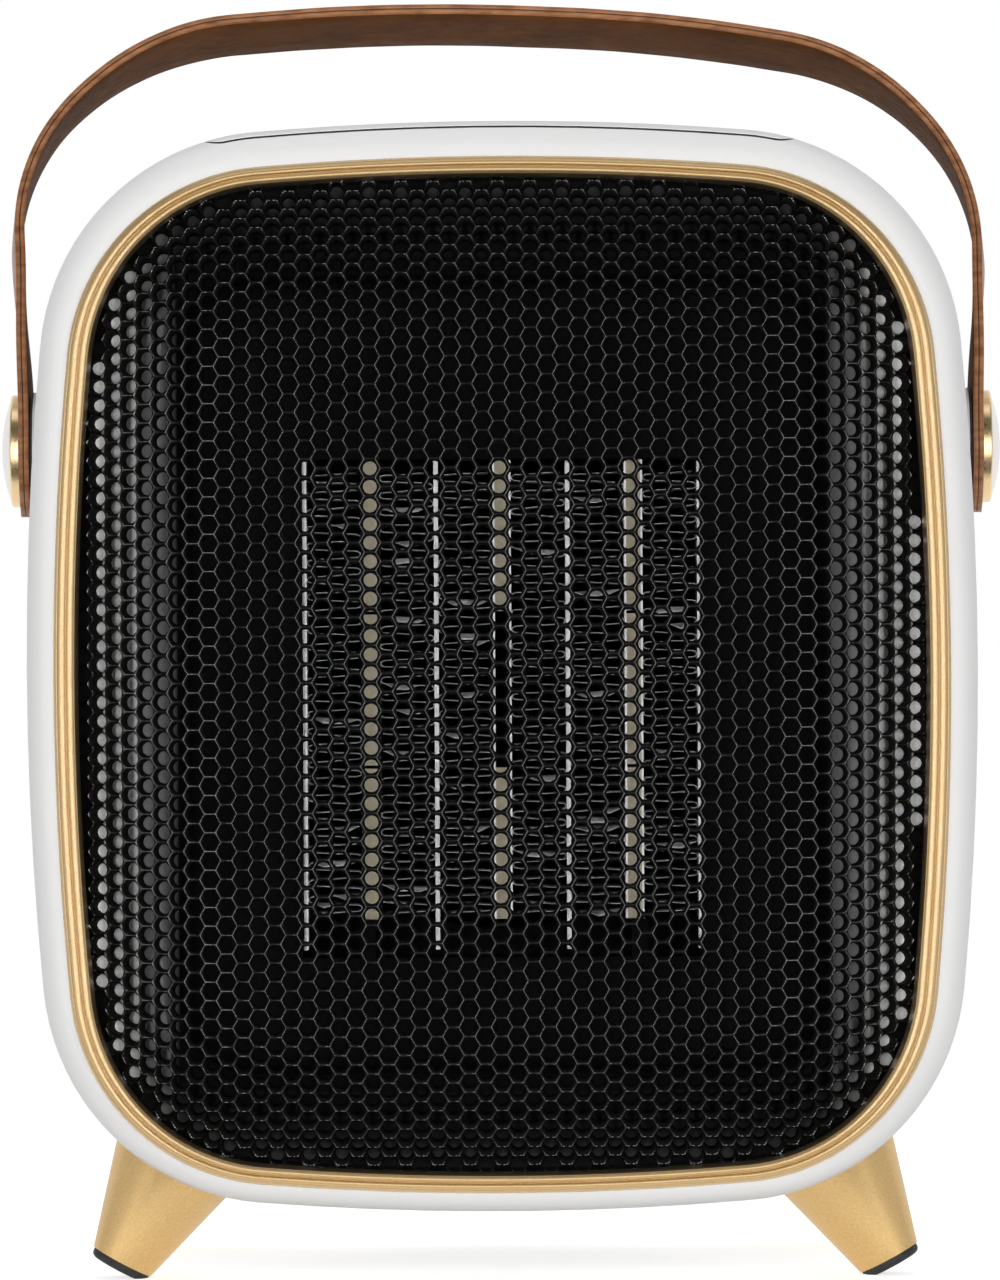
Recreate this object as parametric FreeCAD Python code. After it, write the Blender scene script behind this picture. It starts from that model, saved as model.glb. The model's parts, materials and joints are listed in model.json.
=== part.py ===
import FreeCAD, Part
import math
import os
from FreeCAD import Vector

# Ceramic fan heater: a bowed white casing with a gold trim around a honeycomb outlet grille,
# a leather strap handle, four splayed gold feet, and its heater, fan and controls inside.
# Millimetres. X is right, Y runs from front to back, Z is up.
# The origin is on the floor under the middle of the heater.

# Outline seen from the front: eight tangent arcs, measured on the outside of the gold trim
TRIM_WIDTH = 162.0
TRIM_HEIGHT = 187.2
SIDE_BOW_R = 620.0
TOP_BOW_R = 544.0
CORNER_R = 37.4
RING_WIDTH = 5.1
TRIM_DROP = 1.5
FLOOR_GAP = 12.7

# Casing shells
CASE_DEPTH = 124.0
WALL = 2.5
FRONT_ROUND = 4.9
REAR_ROUND = 12.0
FRONT_SHELL_DEPTH = 80.4
LIP_LENGTH = 4.0
LIP_WALL = 1.4
FIT_GAP = 0.2

# Trim, a ring with two beads and a collar that goes back to the grille
TRIM_PROUD = 1.6
BEAD_WIDTH = 1.65
BEAD_ROUND = 0.7
BEAD_STEP = 0.5
TRIM_LAP = 1.9
SEAT_WALL = 1.8

# Outlet grille, a honeycomb plate whose border bows back to a flat flange
GRILLE_SEAT = 6.7
GRILLE_LAP = 1.3
GRILLE_THICK = 1.6
GRILLE_PITCH = 8.4
GRILLE_BAR = 1.3
GRILLE_RIM = 1.2
GRILLE_BORDER = 32.0
GRILLE_BOW_R = 56.0
GRILLE_STEPS = 4

# Funnel behind the grille, rounded in to its sleeve like a bell mouth
FUNNEL_WALL = 1.6
FUNNEL_LIP = 4.4
FUNNEL_DEPTH = 11.8
FUNNEL_STEPS = 4
OUTLET_WIDTH = 116.4
OUTLET_HEIGHT = 143.6
OUTLET_CORNER = 12.0
SLEEVE_LENGTH = 8.0

# Ceramic heater pack: stones, contact sheets, corrugated fins and electrode plates side by side
STONE_THICK = 2.6
STONE_ROWS = 3
STONE_GAP = 0.6
CONTACT_THICK = 0.4
FIN_WIDTH = 10.0
FIN_PITCH = 3.1
FIN_CROWN = 0.35
FIN_SHEAR = 1.0
PLATE_THICK = 0.8
PACK_HEIGHT = 84.4
PACK_DEPTH = 15.0
PACK_DROP = 4.3
TERMINAL_WIDTH = 6.0
TERMINAL_DROP = 5.6

# Bulkhead that carries the heater pack
BULKHEAD_THICK = 2.5
BULKHEAD_GAP = 0.5
DUCT_WALL = 2.0
DUCT_LENGTH = 20.0
DUCT_WELL = 7.0
RIB_THICK = 3.0
RIB_X = 25.0
FRAME_POST_R = 4.5
FRAME_POST_INSET = 4.0
FRAME_POST_START = 8.0
SCREW_R = 1.5
SCREW_HEAD_R = 2.9
SCREW_HEAD = 2.0
SCREW_GAP = 0.1
SCREW_BITE = 8.0

# Fan, shroud and motor
FAN_R = 43.0
FAN_GAP = 1.5
FAN_DEPTH = 12.0
HUB_R = 14.0
BLADES = 7
BLADE_THICK = 1.6
BLADE_CHORD = 17.0
ROOT_PITCH = 52.0
TIP_PITCH = 30.0
SHROUD_WALL = 2.0
SHROUD_PLATE = 2.5
SHROUD_DEPTH = 22.0
STANDOFF_R = 4.0
STANDOFF_X = 51.0
STANDOFF_Z = 51.0
STANDOFF_MARGIN = 5.0
BRACKET_THICK = 3.0
BRACKET_RIM = 6.0
BRACKET_ARM = 9.0
BRACKET_SCREWS = 4
MOTOR_R = 17.5
MOTOR_LENGTH = 27.0
MOTOR_NOSE_R = 5.0
MOTOR_ROUND = 2.0
MOTOR_SCREW_X = 11.0
SHAFT_R = 1.5
SHAFT_GAP = 0.05
SHAFT_TAIL = 3.0

# Casing screws
CASE_POST_R = 4.5
CASE_POST_X = 67.0
CASE_POST_Z = 62.0
CASE_POST_LENGTH = 24.0
CASE_SCREW_SEAT = 6.0
WEB_THICK = 2.4

# Rear intake slots, filter and cord gland
SLOT_WIDTH = 3.0
SLOT_PITCH = 6.0
INTAKE_R = 50.0
FILTER_HALF = 52.0
FILTER_CORNER = 8.0
FILTER_THICK = 3.0
GLAND_X = 46.0
GLAND_Z = 37.0
GLAND_BORE_R = 3.6
GLAND_R = 5.8
GLAND_FLANGE_R = 8.2
GLAND_PROUD = 2.4
GLAND_TAIL = 7.0
GLAND_NUT = 4.0

# Top control panel with the seal round it, buttons and board
PANEL_WIDTH = 107.0
PANEL_FRONT = 2.2
PANEL_DEPTH = 66.0
PANEL_CORNER = 4.0
PANEL_THICK = 1.3
PANEL_GAP = 0.7
SEAL_PLAY = 0.05
SEAL_SINK = 0.12
BUTTON_R = 6.0
BUTTON_X = 17.0
BUTTON_SETBACK = 50.0
BUTTON_PROUD = 0.6
BUTTON_ROUND = 0.5
BUTTON_FLANGE = 1.4
BUTTON_FLANGE_THICK = 1.2
BUTTON_TRAVEL = 0.9
BUTTON_PLAY = 0.25
STEM_R = 2.0
STEM_LENGTH = 3.2
SWITCH_SIZE = 6.2
SWITCH_HEIGHT = 3.5
SWITCH_TIP_R = 1.7
SWITCH_TIP = 0.8
LENS_R = 1.5
BOARD_WIDTH = 86.0
BOARD_DEPTH = 32.0
BOARD_THICK = 1.6
BOARD_POST_R = 3.4
BOARD_POST_INSET = 5.0

# Safety parts
CUTOUT_R = 7.5
CUTOUT_HEIGHT = 6.0
CUTOUT_FLANGE = 24.0
CUTOUT_X = -18.0
FUSE_R = 2.2
FUSE_LENGTH = 14.0
FUSE_X = 18.0
TILT_WIDTH = 18.0
TILT_DEPTH = 10.0
TILT_HEIGHT = 14.0
TILT_ROUND = 1.4
TILT_X = -38.0
TILT_Y = 2.0
TILT_PLINTH = 3.5

# Feet
LEG_SPLAY = 28.3
LEG_TAPER = 15.8
LEG_END_R = 5.9
LEG_INSET = 20.0
LEG_SINK = 3.0
RIM_CLEAR = 0.25
PAD_INSET = 0.3
PAD_THICK = 1.6
PAD_ROUND = 1.0
PEG_R = 2.4
PEG_LENGTH = 3.0
LEG_SCREW_BITE = 9.0
LEG_SCREW_SEAT = 0.2

# Strap handle, modelled upright and leaned back about its two rivets
RIVET_RISE = 40.7
BOSS_R = 11.0
BOSS_FACE = 87.4
WASHER_THICK = 0.5
STRAP_WIDTH = 25.0
STRAP_THICK = 1.9
STRAP_PLAY = 0.1
STRAP_LEAN = 10.5
STRAP_SHARE = 0.49
SHANK_R = 3.0
SHANK_GAP = 0.05
CAP_R = 10.5
CAP_BAND = 1.7
CAP_DOME = 1.8
CAP_DOME_R = 9.8
CAP_ROUND = 0.5
NUT_WIDTH = 11.0
NUT_THICK = 3.5
BOSS_DEPTH = 6.0

X_AXIS = Vector(1, 0, 0)
Y_AXIS = Vector(0, 1, 0)
Z_AXIS = Vector(0, 0, 1)
FAR = 400.0

# Places that follow from the sizes above
OVERALL_DEPTH = TRIM_PROUD + CASE_DEPTH + GLAND_PROUD
TRIM_FRONT = -OVERALL_DEPTH / 2
CASE_FRONT = TRIM_FRONT + TRIM_PROUD
CASE_REAR = CASE_FRONT + CASE_DEPTH
PARTING = CASE_FRONT + FRONT_SHELL_DEPTH
CASE_HALF_HEIGHT = TRIM_HEIGHT / 2 + RING_WIDTH
CASE_Z = FLOOR_GAP + CASE_HALF_HEIGHT
CASE_TOP = CASE_Z + CASE_HALF_HEIGHT
TRIM_Z = CASE_Z - TRIM_DROP
INSIDE = RING_WIDTH - WALL
OPENING = -TRIM_LAP
GRILLE_FRONT = CASE_FRONT + GRILLE_SEAT
GRILLE_BACK = GRILLE_FRONT + GRILLE_THICK
GRILLE_RIM_EDGE = OPENING + GRILLE_LAP
GRILLE_FOOT = 2 * BEAD_WIDTH + GRILLE_RIM
FUNNEL_END = GRILLE_BACK + FUNNEL_DEPTH
BULKHEAD_Y = FUNNEL_END + SLEEVE_LENGTH
BULKHEAD_BACK = BULKHEAD_Y + BULKHEAD_THICK
PACK_HALF = 3 * (FIN_WIDTH + CONTACT_THICK) + 1.5 * STONE_THICK + 2 * PLATE_THICK
PACK_Z = CASE_Z - PACK_DROP
PACK_BOTTOM = PACK_Z - PACK_HEIGHT / 2
PACK_TOP = PACK_Z + PACK_HEIGHT / 2
PACK_FRONT = BULKHEAD_Y + BULKHEAD_THICK
DUCT_HALF = PACK_HALF + FIT_GAP
DUCT_TOP = PACK_TOP + FIT_GAP
DUCT_BOTTOM = PACK_BOTTOM - DUCT_WELL
SHROUD_Y = BULKHEAD_Y + DUCT_LENGTH
SHROUD_BACK = SHROUD_Y + SHROUD_DEPTH
SHROUD_R = FAN_R + FAN_GAP
BRACKET_BACK = SHROUD_BACK + BRACKET_THICK
FAN_FRONT = SHROUD_Y + SHROUD_PLATE + FAN_GAP
RIVET_Z = CASE_Z + RIVET_RISE
BUTTON_Y = CASE_FRONT + BUTTON_SETBACK
PANEL_UNDER = CASE_TOP - WALL
TILT_SEAT = FLOOR_GAP + WALL + TILT_PLINTH
LEG_Y = CASE_DEPTH / 2 - LEG_INSET
STRAP_IN = BOSS_FACE + WASHER_THICK + STRAP_PLAY
STRAP_OUT = STRAP_IN + STRAP_THICK
CAP_IN = STRAP_OUT + STRAP_PLAY


def block(x0, x1, y0, y1, z0, z1):
    return Part.makeBox(x1 - x0, y1 - y0, z1 - z0, Vector(x0, y0, z0))


def rod(radius, start, length, axis):
    return Part.makeCylinder(radius, length, start, axis)


def tube(outer_r, inner_r, start, length, axis):
    return rod(outer_r, start, length, axis).cut(rod(inner_r, start, length, axis))


def arc(first, middle, last):
    return Part.Arc(first, middle, last).toShape()


def corner_of_outline():
    """Centre of the corner arc, and the directions to its two tangent points."""
    side = Vector(TRIM_WIDTH / 2 - SIDE_BOW_R, 0, 0)
    top = Vector(0, 0, TRIM_HEIGHT / 2 - TOP_BOW_R)
    side_reach = SIDE_BOW_R - CORNER_R
    top_reach = TOP_BOW_R - CORNER_R
    apart = (top - side).Length
    along = (side_reach ** 2 - top_reach ** 2 + apart ** 2) / (2 * apart)
    across = math.sqrt(side_reach ** 2 - along ** 2)
    unit = (top - side).normalize()
    square = Vector(-unit.z, 0, unit.x)
    centre = side + unit * along + square * across
    return centre, (centre - side).normalize(), (centre - top).normalize()


CORNER, TO_SIDE, TO_TOP = corner_of_outline()


def outline_quarter(grow):
    """Middle of the side, three points of the corner and middle of the top, as (x, height)."""
    ways = (TO_SIDE, (TO_SIDE + TO_TOP).normalize(), TO_TOP)
    corner = [CORNER + way * (CORNER_R + grow) for way in ways]
    return [(TRIM_WIDTH / 2 + grow, 0.0)] + [(c.x, c.z) for c in corner] + [(0.0, TRIM_HEIGHT / 2 + grow)]


def window_quarter(half_w, half_h, corner):
    """The same five points of a rounded rectangle."""
    slant = corner * (1 - math.sqrt(0.5))
    return [(half_w, 0.0), (half_w, half_h - corner), (half_w - slant, half_h - slant),
            (half_w - corner, half_h), (0.0, half_h)]


def mixed_quarter(first, second, share):
    """Quarter outline between two others."""
    return [(a + (c - a) * share, b + (d - b) * share) for (a, b), (c, d) in zip(first, second)]


def run(first, middle, last):
    """Edge through three points, straight where they are in line."""
    if (middle - first).cross(last - first).Length < 1e-6:
        return Part.makeLine(first, last)
    return arc(first, middle, last)


def loop(quarter, y, z):
    """Closed wire that repeats a quarter outline on all four sides."""
    side, low, slant, high, top = quarter
    edges = []
    for sx, sz, turned in ((1, 1, False), (-1, 1, True), (-1, -1, False), (1, -1, True)):
        corner = [Vector(sx * px, y, z + sz * pz) for px, pz in (low, slant, high)]
        if turned:
            corner.reverse()
            start = Vector(-corner[0].x, y, corner[0].z)
            edges.append(run(start, Vector(0, y, z + sz * top[1]), corner[0]))
        else:
            start = Vector(corner[0].x, y, 2 * z - corner[0].z)
            edges.append(run(start, Vector(sx * side[0], y, z), corner[0]))
        edges.append(run(*corner))
    return Part.Wire(edges)


def outline(grow, y, z):
    """Closed wire of the bowed outline, grown outward from the trim's outside."""
    return loop(outline_quarter(grow), y, z)


def window(half_w, half_h, corner, y, z):
    """Closed wire of a rounded rectangle, its edges in the same order as the outline's."""
    return loop(window_quarter(half_w, half_h, corner), y, z)


def slab(grow, y0, y1, z):
    """Solid with the bowed outline between two planes."""
    return Part.Face(outline(grow, y0, z)).extrude(Vector(0, y1 - y0, 0))


def ring(outer, inner, y0, y1, z):
    return slab(outer, y0, y1, z).cut(slab(inner, y0, y1, z))


def edges_in_plane(shape, y):
    return [e for e in shape.Edges if abs(e.BoundBox.YMin - y) < 1e-4 and abs(e.BoundBox.YMax - y) < 1e-4]


def casing_solid(sink, front_gap, rear_gap):
    """The casing's rounded outer form, sunk inward from the outside by the given amount."""
    front = CASE_FRONT + front_gap
    rear = CASE_REAR - rear_gap
    body = slab(RING_WIDTH - sink, front, rear, CASE_Z)
    body = body.makeFillet(REAR_ROUND - sink, edges_in_plane(body, rear))
    if FRONT_ROUND > sink:
        body = body.makeFillet(FRONT_ROUND - sink, edges_in_plane(body, front))
    return body


def corner_spots(reach):
    """Four points near the casing's corners, at a reach from the corner arc's centre."""
    spot = CORNER + (TO_SIDE + TO_TOP).normalize() * reach
    return [(sx * spot.x, CASE_Z + sz * spot.z) for sx in (1, -1) for sz in (1, -1)]


CASE_OUTER = casing_solid(0.0, 0.0, 0.0)
CASE_INNER = slab(INSIDE, CASE_FRONT + WALL, PARTING, CASE_Z).fuse(
    casing_solid(WALL, WALL, WALL)).removeSplitter()
FRAME_POSTS = corner_spots(CORNER_R + INSIDE - FRAME_POST_INSET)
CASE_POSTS = [(sx * CASE_POST_X, CASE_Z + sz * CASE_POST_Z) for sx in (1, -1) for sz in (1, -1)]
STANDOFFS = [(sx * STANDOFF_X, PACK_Z + sz * STANDOFF_Z) for sx in (1, -1) for sz in (1, -1)]
BOARD_POST_X = BOARD_WIDTH / 2 - BOARD_POST_INSET
BOARD_POST_Y = BOARD_DEPTH / 2 - BOARD_POST_INSET
BOARD_POSTS = [(sx * BOARD_POST_X, BUTTON_Y + sy * BOARD_POST_Y) for sx in (1, -1) for sy in (1, -1)]
LEG_SIGNS = [("front_left", -1, -1), ("front_right", 1, -1), ("rear_left", -1, 1), ("rear_right", 1, 1)]
SIDES = [("left", -1), ("right", 1)]


def crown_drop(x):
    """How far the bowed top has fallen at a distance from the middle."""
    radius = TOP_BOW_R + RING_WIDTH
    return radius - math.sqrt(radius ** 2 - x ** 2)


SWITCH_TOP = PANEL_UNDER - crown_drop(BUTTON_X + BUTTON_R + BUTTON_FLANGE) - FIT_GAP - BUTTON_FLANGE_THICK \
    - STEM_LENGTH - BUTTON_TRAVEL - SCREW_GAP
BOARD_TOP = SWITCH_TOP - SWITCH_HEIGHT
BOARD_UNDER = BOARD_TOP - BOARD_THICK


def panel_prism(grow):
    """Upright prism with the control panel's rounded plan."""
    centre_y = CASE_FRONT + PANEL_FRONT + PANEL_DEPTH / 2
    half_w = PANEL_WIDTH / 2 + grow
    half_d = PANEL_DEPTH / 2 + grow
    plan = window(half_w, half_d, PANEL_CORNER + grow, 0, 0)
    prism = Part.Face(plan).extrude(Vector(0, -CASE_HALF_HEIGHT, 0))
    prism.rotate(Vector(), X_AXIS, -90)
    prism.translate(Vector(0, centre_y, CASE_Z))
    return prism


def casing_skin(upper, lower):
    """Layer of the casing's wall between two depths under its surface."""
    return casing_solid(upper, upper, upper).cut(casing_solid(lower, lower, lower))


PANEL_SKIN = casing_skin(0.0, PANEL_THICK)


def top_holes(play):
    """Upright holes for the two buttons and the status lens."""
    spots = [(BUTTON_X, BUTTON_R + play), (-BUTTON_X, BUTTON_R + play), (0, LENS_R + SCREW_GAP)]
    return [rod(radius, Vector(x, BUTTON_Y, CASE_Z), CASE_HALF_HEIGHT, Z_AXIS) for x, radius in spots]


def leg_axis(sx):
    """Centre of the casing's lower corner arc and the direction of the leg that stands on it."""
    splay = math.radians(LEG_SPLAY)
    centre = Vector(sx * CORNER.x, 0, CASE_Z - CORNER.z)
    return centre, Vector(sx * math.sin(splay), 0, -math.cos(splay))


def leg_end():
    """Distance from the corner arc's centre to the leg's lower end."""
    splay = math.radians(LEG_SPLAY)
    return (CASE_Z - CORNER.z - RIM_CLEAR - LEG_END_R * math.sin(splay)) / math.cos(splay)


def front_shell():
    shell = CASE_OUTER.cut(CASE_INNER).common(block(-FAR, FAR, -FAR, PARTING, -FAR, FAR))
    additions = []
    for x, z in FRAME_POSTS:
        start = GRILLE_BACK + FRAME_POST_START
        additions.append(rod(FRAME_POST_R, Vector(x, start, z), BULKHEAD_Y - start, Y_AXIS))
    for x, z in CASE_POSTS:
        start = PARTING - CASE_POST_LENGTH
        additions.append(rod(CASE_POST_R, Vector(x, start, z), CASE_POST_LENGTH, Y_AXIS))
        outward = math.copysign(TRIM_WIDTH / 2 + RING_WIDTH, x)
        additions.append(block(min(x, outward), max(x, outward), start, PARTING - LIP_LENGTH - FIT_GAP,
                               z - WEB_THICK / 2, z + WEB_THICK / 2))
    for x, y in BOARD_POSTS:
        additions.append(rod(BOARD_POST_R, Vector(x, y, BOARD_TOP), CASE_TOP - BOARD_TOP, Z_AXIS))
    additions.append(tilt_block(FLOOR_GAP, TILT_SEAT))
    shell = shell.fuse([a.common(CASE_OUTER) for a in additions])
    bosses = []
    for name, sx in SIDES:
        bosses.append(rod(BOSS_R, Vector(sx * (BOSS_FACE - BOSS_DEPTH), 0, RIVET_Z), BOSS_DEPTH, X_AXIS * sx))
    seat = slab(OPENING + SEAT_WALL, CASE_FRONT + WALL / 2, GRILLE_FRONT, TRIM_Z)
    shell = shell.fuse(bosses + [seat])
    cuts = [slab(OPENING, CASE_FRONT - WALL, GRILLE_FRONT + WALL, TRIM_Z)]
    cuts.append(PANEL_SKIN.common(panel_prism(PANEL_GAP)))
    cuts.extend(top_holes(BUTTON_PLAY))
    hole_r = SCREW_R + SCREW_GAP
    bite = SCREW_BITE + SCREW_R
    cuts.extend(rod(hole_r, Vector(x, BULKHEAD_Y - bite, z), bite, Y_AXIS) for x, z in FRAME_POSTS)
    depth = 2 * SCREW_BITE
    cuts.extend(rod(hole_r, Vector(x, PARTING - depth, z), depth, Y_AXIS) for x, z in CASE_POSTS)
    board_bite = SCREW_BITE - BOARD_THICK
    cuts.extend(rod(hole_r, Vector(x, y, BOARD_TOP), board_bite, Z_AXIS) for x, y in BOARD_POSTS)
    for name, sx in SIDES:
        cuts.append(rod(SHANK_R + SCREW_GAP, Vector(sx * CASE_POST_X, 0, RIVET_Z), FAR, X_AXIS * sx))
    cuts.extend(leg_screw_hole(sx, sy) for name, sx, sy in LEG_SIGNS if sy < 0)
    return shell.cut(cuts).removeSplitter()


def leg_screw_hole(sx, sy):
    centre, axis = leg_axis(sx)
    return rod(SCREW_R + SCREW_GAP, centre + Vector(0, sy * LEG_Y, 0) + axis * CORNER_R, FAR / 4, axis)


def rear_shell():
    shell = CASE_OUTER.cut(CASE_INNER).common(block(-FAR, FAR, PARTING, FAR, -FAR, FAR))
    lip_in = INSIDE - FIT_GAP - LIP_WALL
    lip = ring(INSIDE - FIT_GAP, lip_in, PARTING - LIP_LENGTH, PARTING + LIP_LENGTH, CASE_Z)
    root = ring(INSIDE + FIT_GAP, lip_in, PARTING, PARTING + LIP_LENGTH, CASE_Z)
    posts = [rod(CASE_POST_R, Vector(x, PARTING, z), CASE_REAR - PARTING, Y_AXIS) for x, z in CASE_POSTS]
    shell = shell.fuse([lip, root] + [p.common(CASE_OUTER) for p in posts])
    seat = PARTING + CASE_SCREW_SEAT
    cuts = []
    for x, z in CASE_POSTS:
        cuts.append(rod(SCREW_R + SCREW_GAP, Vector(x, PARTING - WALL, z), FAR, Y_AXIS))
        cuts.append(rod(SCREW_HEAD_R + FIT_GAP, Vector(x, seat, z), FAR, Y_AXIS))
    count = int((INTAKE_R - SLOT_WIDTH) / SLOT_PITCH)
    for column in range(-count, count + 1):
        x = column * SLOT_PITCH
        half = math.sqrt(INTAKE_R ** 2 - x ** 2)
        slot = window(SLOT_WIDTH / 2, half, SLOT_WIDTH / 2 - FIT_GAP, CASE_REAR - 2 * WALL, PACK_Z)
        slot = Part.Face(slot).extrude(Y_AXIS * 4 * WALL)
        slot.translate(X_AXIS * x)
        cuts.append(slot)
    cuts.append(rod(GLAND_R + SCREW_GAP, Vector(GLAND_X, CASE_REAR - 2 * WALL, GLAND_Z), FAR, Y_AXIS))
    cuts.extend(leg_screw_hole(sx, sy) for name, sx, sy in LEG_SIGNS if sy > 0)
    return shell.cut(cuts).removeSplitter()


def trim_ring():
    """Two beads, the inner one prouder, and the collar behind them."""
    step = TRIM_FRONT + BEAD_STEP
    outer = ring(0, -BEAD_WIDTH, step, CASE_FRONT, TRIM_Z)
    outer = outer.makeFillet(BEAD_ROUND, edges_in_plane(outer, step))
    inner = ring(-BEAD_WIDTH, -2 * BEAD_WIDTH, TRIM_FRONT, CASE_FRONT, TRIM_Z)
    inner = inner.makeFillet(BEAD_ROUND, edges_in_plane(inner, TRIM_FRONT))
    collar = ring(OPENING - FIT_GAP, -2 * BEAD_WIDTH, CASE_FRONT, GRILLE_FRONT, TRIM_Z)
    return outer.fuse([inner, collar]).removeSplitter()


def grille_rise(inset):
    """How far the bowed border has still to rise at a distance inside the trim's outside."""
    left = max(GRILLE_BORDER - inset, 0.0)
    return GRILLE_BOW_R - math.sqrt(GRILLE_BOW_R ** 2 - left ** 2)


def grille_dome(back):
    """Solid behind the grille's bowed face, moved back by the given amount."""
    wires = []
    for step in range(GRILLE_STEPS + 1):
        inset = GRILLE_FOOT + (GRILLE_BORDER - GRILLE_FOOT) * step / GRILLE_STEPS
        y = GRILLE_FRONT + grille_rise(inset) - grille_rise(GRILLE_FOOT) + back
        wires.append(outline(-inset, y, TRIM_Z))
    return Part.makeLoft(wires, True, True)


def front_grille():
    """Bowed honeycomb plate, its cells in upright columns that are set half a pitch apart."""
    field = slab(-GRILLE_FOOT, GRILLE_FRONT, GRILLE_BACK, TRIM_Z)
    through = Y_AXIS * (grille_rise(GRILLE_FOOT) + 3 * GRILLE_THICK)
    start = through - Y_AXIS * (2 * GRILLE_THICK)
    column_step = GRILLE_PITCH * math.sqrt(3) / 2
    cell_r = (GRILLE_PITCH - GRILLE_BAR) / math.sqrt(3)
    columns = int(TRIM_WIDTH / 2 / column_step)
    rows = int(TRIM_HEIGHT / 2 / GRILLE_PITCH) + 1
    ways = [Vector(math.cos(math.radians(60 * k)), 0, math.sin(math.radians(60 * k))) for k in range(7)]
    cells = []
    for i in range(-columns, columns + 1):
        for j in range(-rows, rows + 1):
            centre = Vector(i * column_step, GRILLE_FRONT, TRIM_Z + (j + 0.5 * (i % 2)) * GRILLE_PITCH)
            corners = [centre + way * cell_r for way in ways]
            if all(field.isInside(corner, 1e-6, True) for corner in corners):
                cell = Part.Face(Part.makePolygon([corner - start for corner in corners]))
                cells.append(cell.extrude(through))
    flange = slab(GRILLE_RIM_EDGE, GRILLE_FRONT, GRILLE_BACK, TRIM_Z)
    plate = flange.fuse(grille_dome(0)).cut(grille_dome(GRILLE_THICK))
    return plate.cut(Part.makeCompound(cells))


def outlet_funnel():
    """Flange behind the grille, a bell mouth that rounds in to the outlet, and a sleeve."""
    mouth = -2 * BEAD_WIDTH - FUNNEL_LIP
    half_w = OUTLET_WIDTH / 2
    half_h = OUTLET_HEIGHT / 2

    def bell(grow):
        rim = outline_quarter(mouth + grow)
        throat = window_quarter(half_w + grow, half_h + grow, OUTLET_CORNER + grow)
        wires = []
        for step in range(FUNNEL_STEPS + 1):
            turn = math.pi / 2 * step / FUNNEL_STEPS
            y = GRILLE_BACK + FUNNEL_DEPTH * (1 - math.cos(turn))
            wires.append(loop(mixed_quarter(rim, throat, math.sin(turn)), y, TRIM_Z))
        sleeve = Part.Face(loop(throat, FUNNEL_END, TRIM_Z)).extrude(Vector(0, SLEEVE_LENGTH, 0))
        return Part.makeLoft(wires, True, True), sleeve

    outer_bell, outer_sleeve = bell(FUNNEL_WALL)
    inner_bell, inner_sleeve = bell(0)
    flange = slab(GRILLE_RIM_EDGE, GRILLE_BACK, GRILLE_BACK + FUNNEL_WALL, TRIM_Z)
    return flange.fuse([outer_bell, outer_sleeve]).cut([inner_bell, inner_sleeve]).removeSplitter()


def heater_frame():
    """Bulkhead across the casing, with the duct that holds the heater pack and the fan's standoffs."""
    plate = slab(INSIDE - BULKHEAD_GAP, BULKHEAD_Y, BULKHEAD_BACK, CASE_Z)
    duct = block(-DUCT_HALF - DUCT_WALL, DUCT_HALF + DUCT_WALL, BULKHEAD_Y, SHROUD_Y,
                 DUCT_BOTTOM - DUCT_WALL, DUCT_TOP + DUCT_WALL)
    posts = [rod(STANDOFF_R, Vector(x, BULKHEAD_Y, z), SHROUD_Y - BULKHEAD_Y, Y_AXIS) for x, z in STANDOFFS]
    frame = plate.fuse([duct] + posts)
    cuts = [block(-DUCT_HALF, DUCT_HALF, BULKHEAD_Y - WALL, SHROUD_Y + WALL, DUCT_BOTTOM, DUCT_TOP)]
    cuts.extend(rod(SCREW_R + SCREW_GAP, Vector(x, BULKHEAD_Y - WALL, z), BULKHEAD_THICK + 2 * WALL, Y_AXIS)
                for x, z in FRAME_POSTS)
    bite = SCREW_BITE + SCREW_R
    cuts.extend(rod(SCREW_R + SCREW_GAP, Vector(x, SHROUD_Y - bite, z), bite, Y_AXIS) for x, z in STANDOFFS)
    ribs = [block(sx * RIB_X - RIB_THICK / 2, sx * RIB_X + RIB_THICK / 2, BULKHEAD_Y, SHROUD_Y,
                  DUCT_BOTTOM - DUCT_WALL, PACK_BOTTOM) for sx in (1, -1)]
    return frame.cut(cuts).fuse(ribs).removeSplitter()


def fin_bank(left):
    """One corrugated strip between two upright walls, as a zigzag with flat crowns."""
    x_out = left + FIN_SHEAR
    x_back = left + FIN_WIDTH - FIN_SHEAR
    waves = int(PACK_HEIGHT / FIN_PITCH)
    start = PACK_Z - waves * FIN_PITCH / 2
    path = []
    for wave in range(waves):
        z = start + wave * FIN_PITCH
        path.append((x_out, z + FIN_CROWN / 2))
        path.append((x_back, z + (FIN_PITCH - FIN_CROWN) / 2))
        path.append((x_back, z + (FIN_PITCH + FIN_CROWN) / 2))
        path.append((x_out, z + FIN_PITCH - FIN_CROWN / 2))
    points = [Vector(x + FIN_SHEAR, PACK_FRONT, z) for x, z in path]
    points += [Vector(x - FIN_SHEAR, PACK_FRONT, z) for x, z in reversed(path)]
    face = Part.Face(Part.makePolygon(points + points[:1]))
    return face.extrude(Vector(0, PACK_DEPTH, 0))


def stone_column(left, rows):
    height = (PACK_HEIGHT - (STONE_ROWS - 1) * STONE_GAP) / STONE_ROWS
    stones = []
    for row in rows:
        bottom = PACK_BOTTOM + row * (height + STONE_GAP)
        stones.append(block(left, left + STONE_THICK, PACK_FRONT, PACK_FRONT + PACK_DEPTH,
                            bottom, bottom + height))
    return Part.makeCompound(stones)


def upright_sheet(left, thick):
    """Plate as high and deep as the pack."""
    return block(left, left + thick, PACK_FRONT, PACK_FRONT + PACK_DEPTH, PACK_BOTTOM, PACK_TOP)


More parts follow.
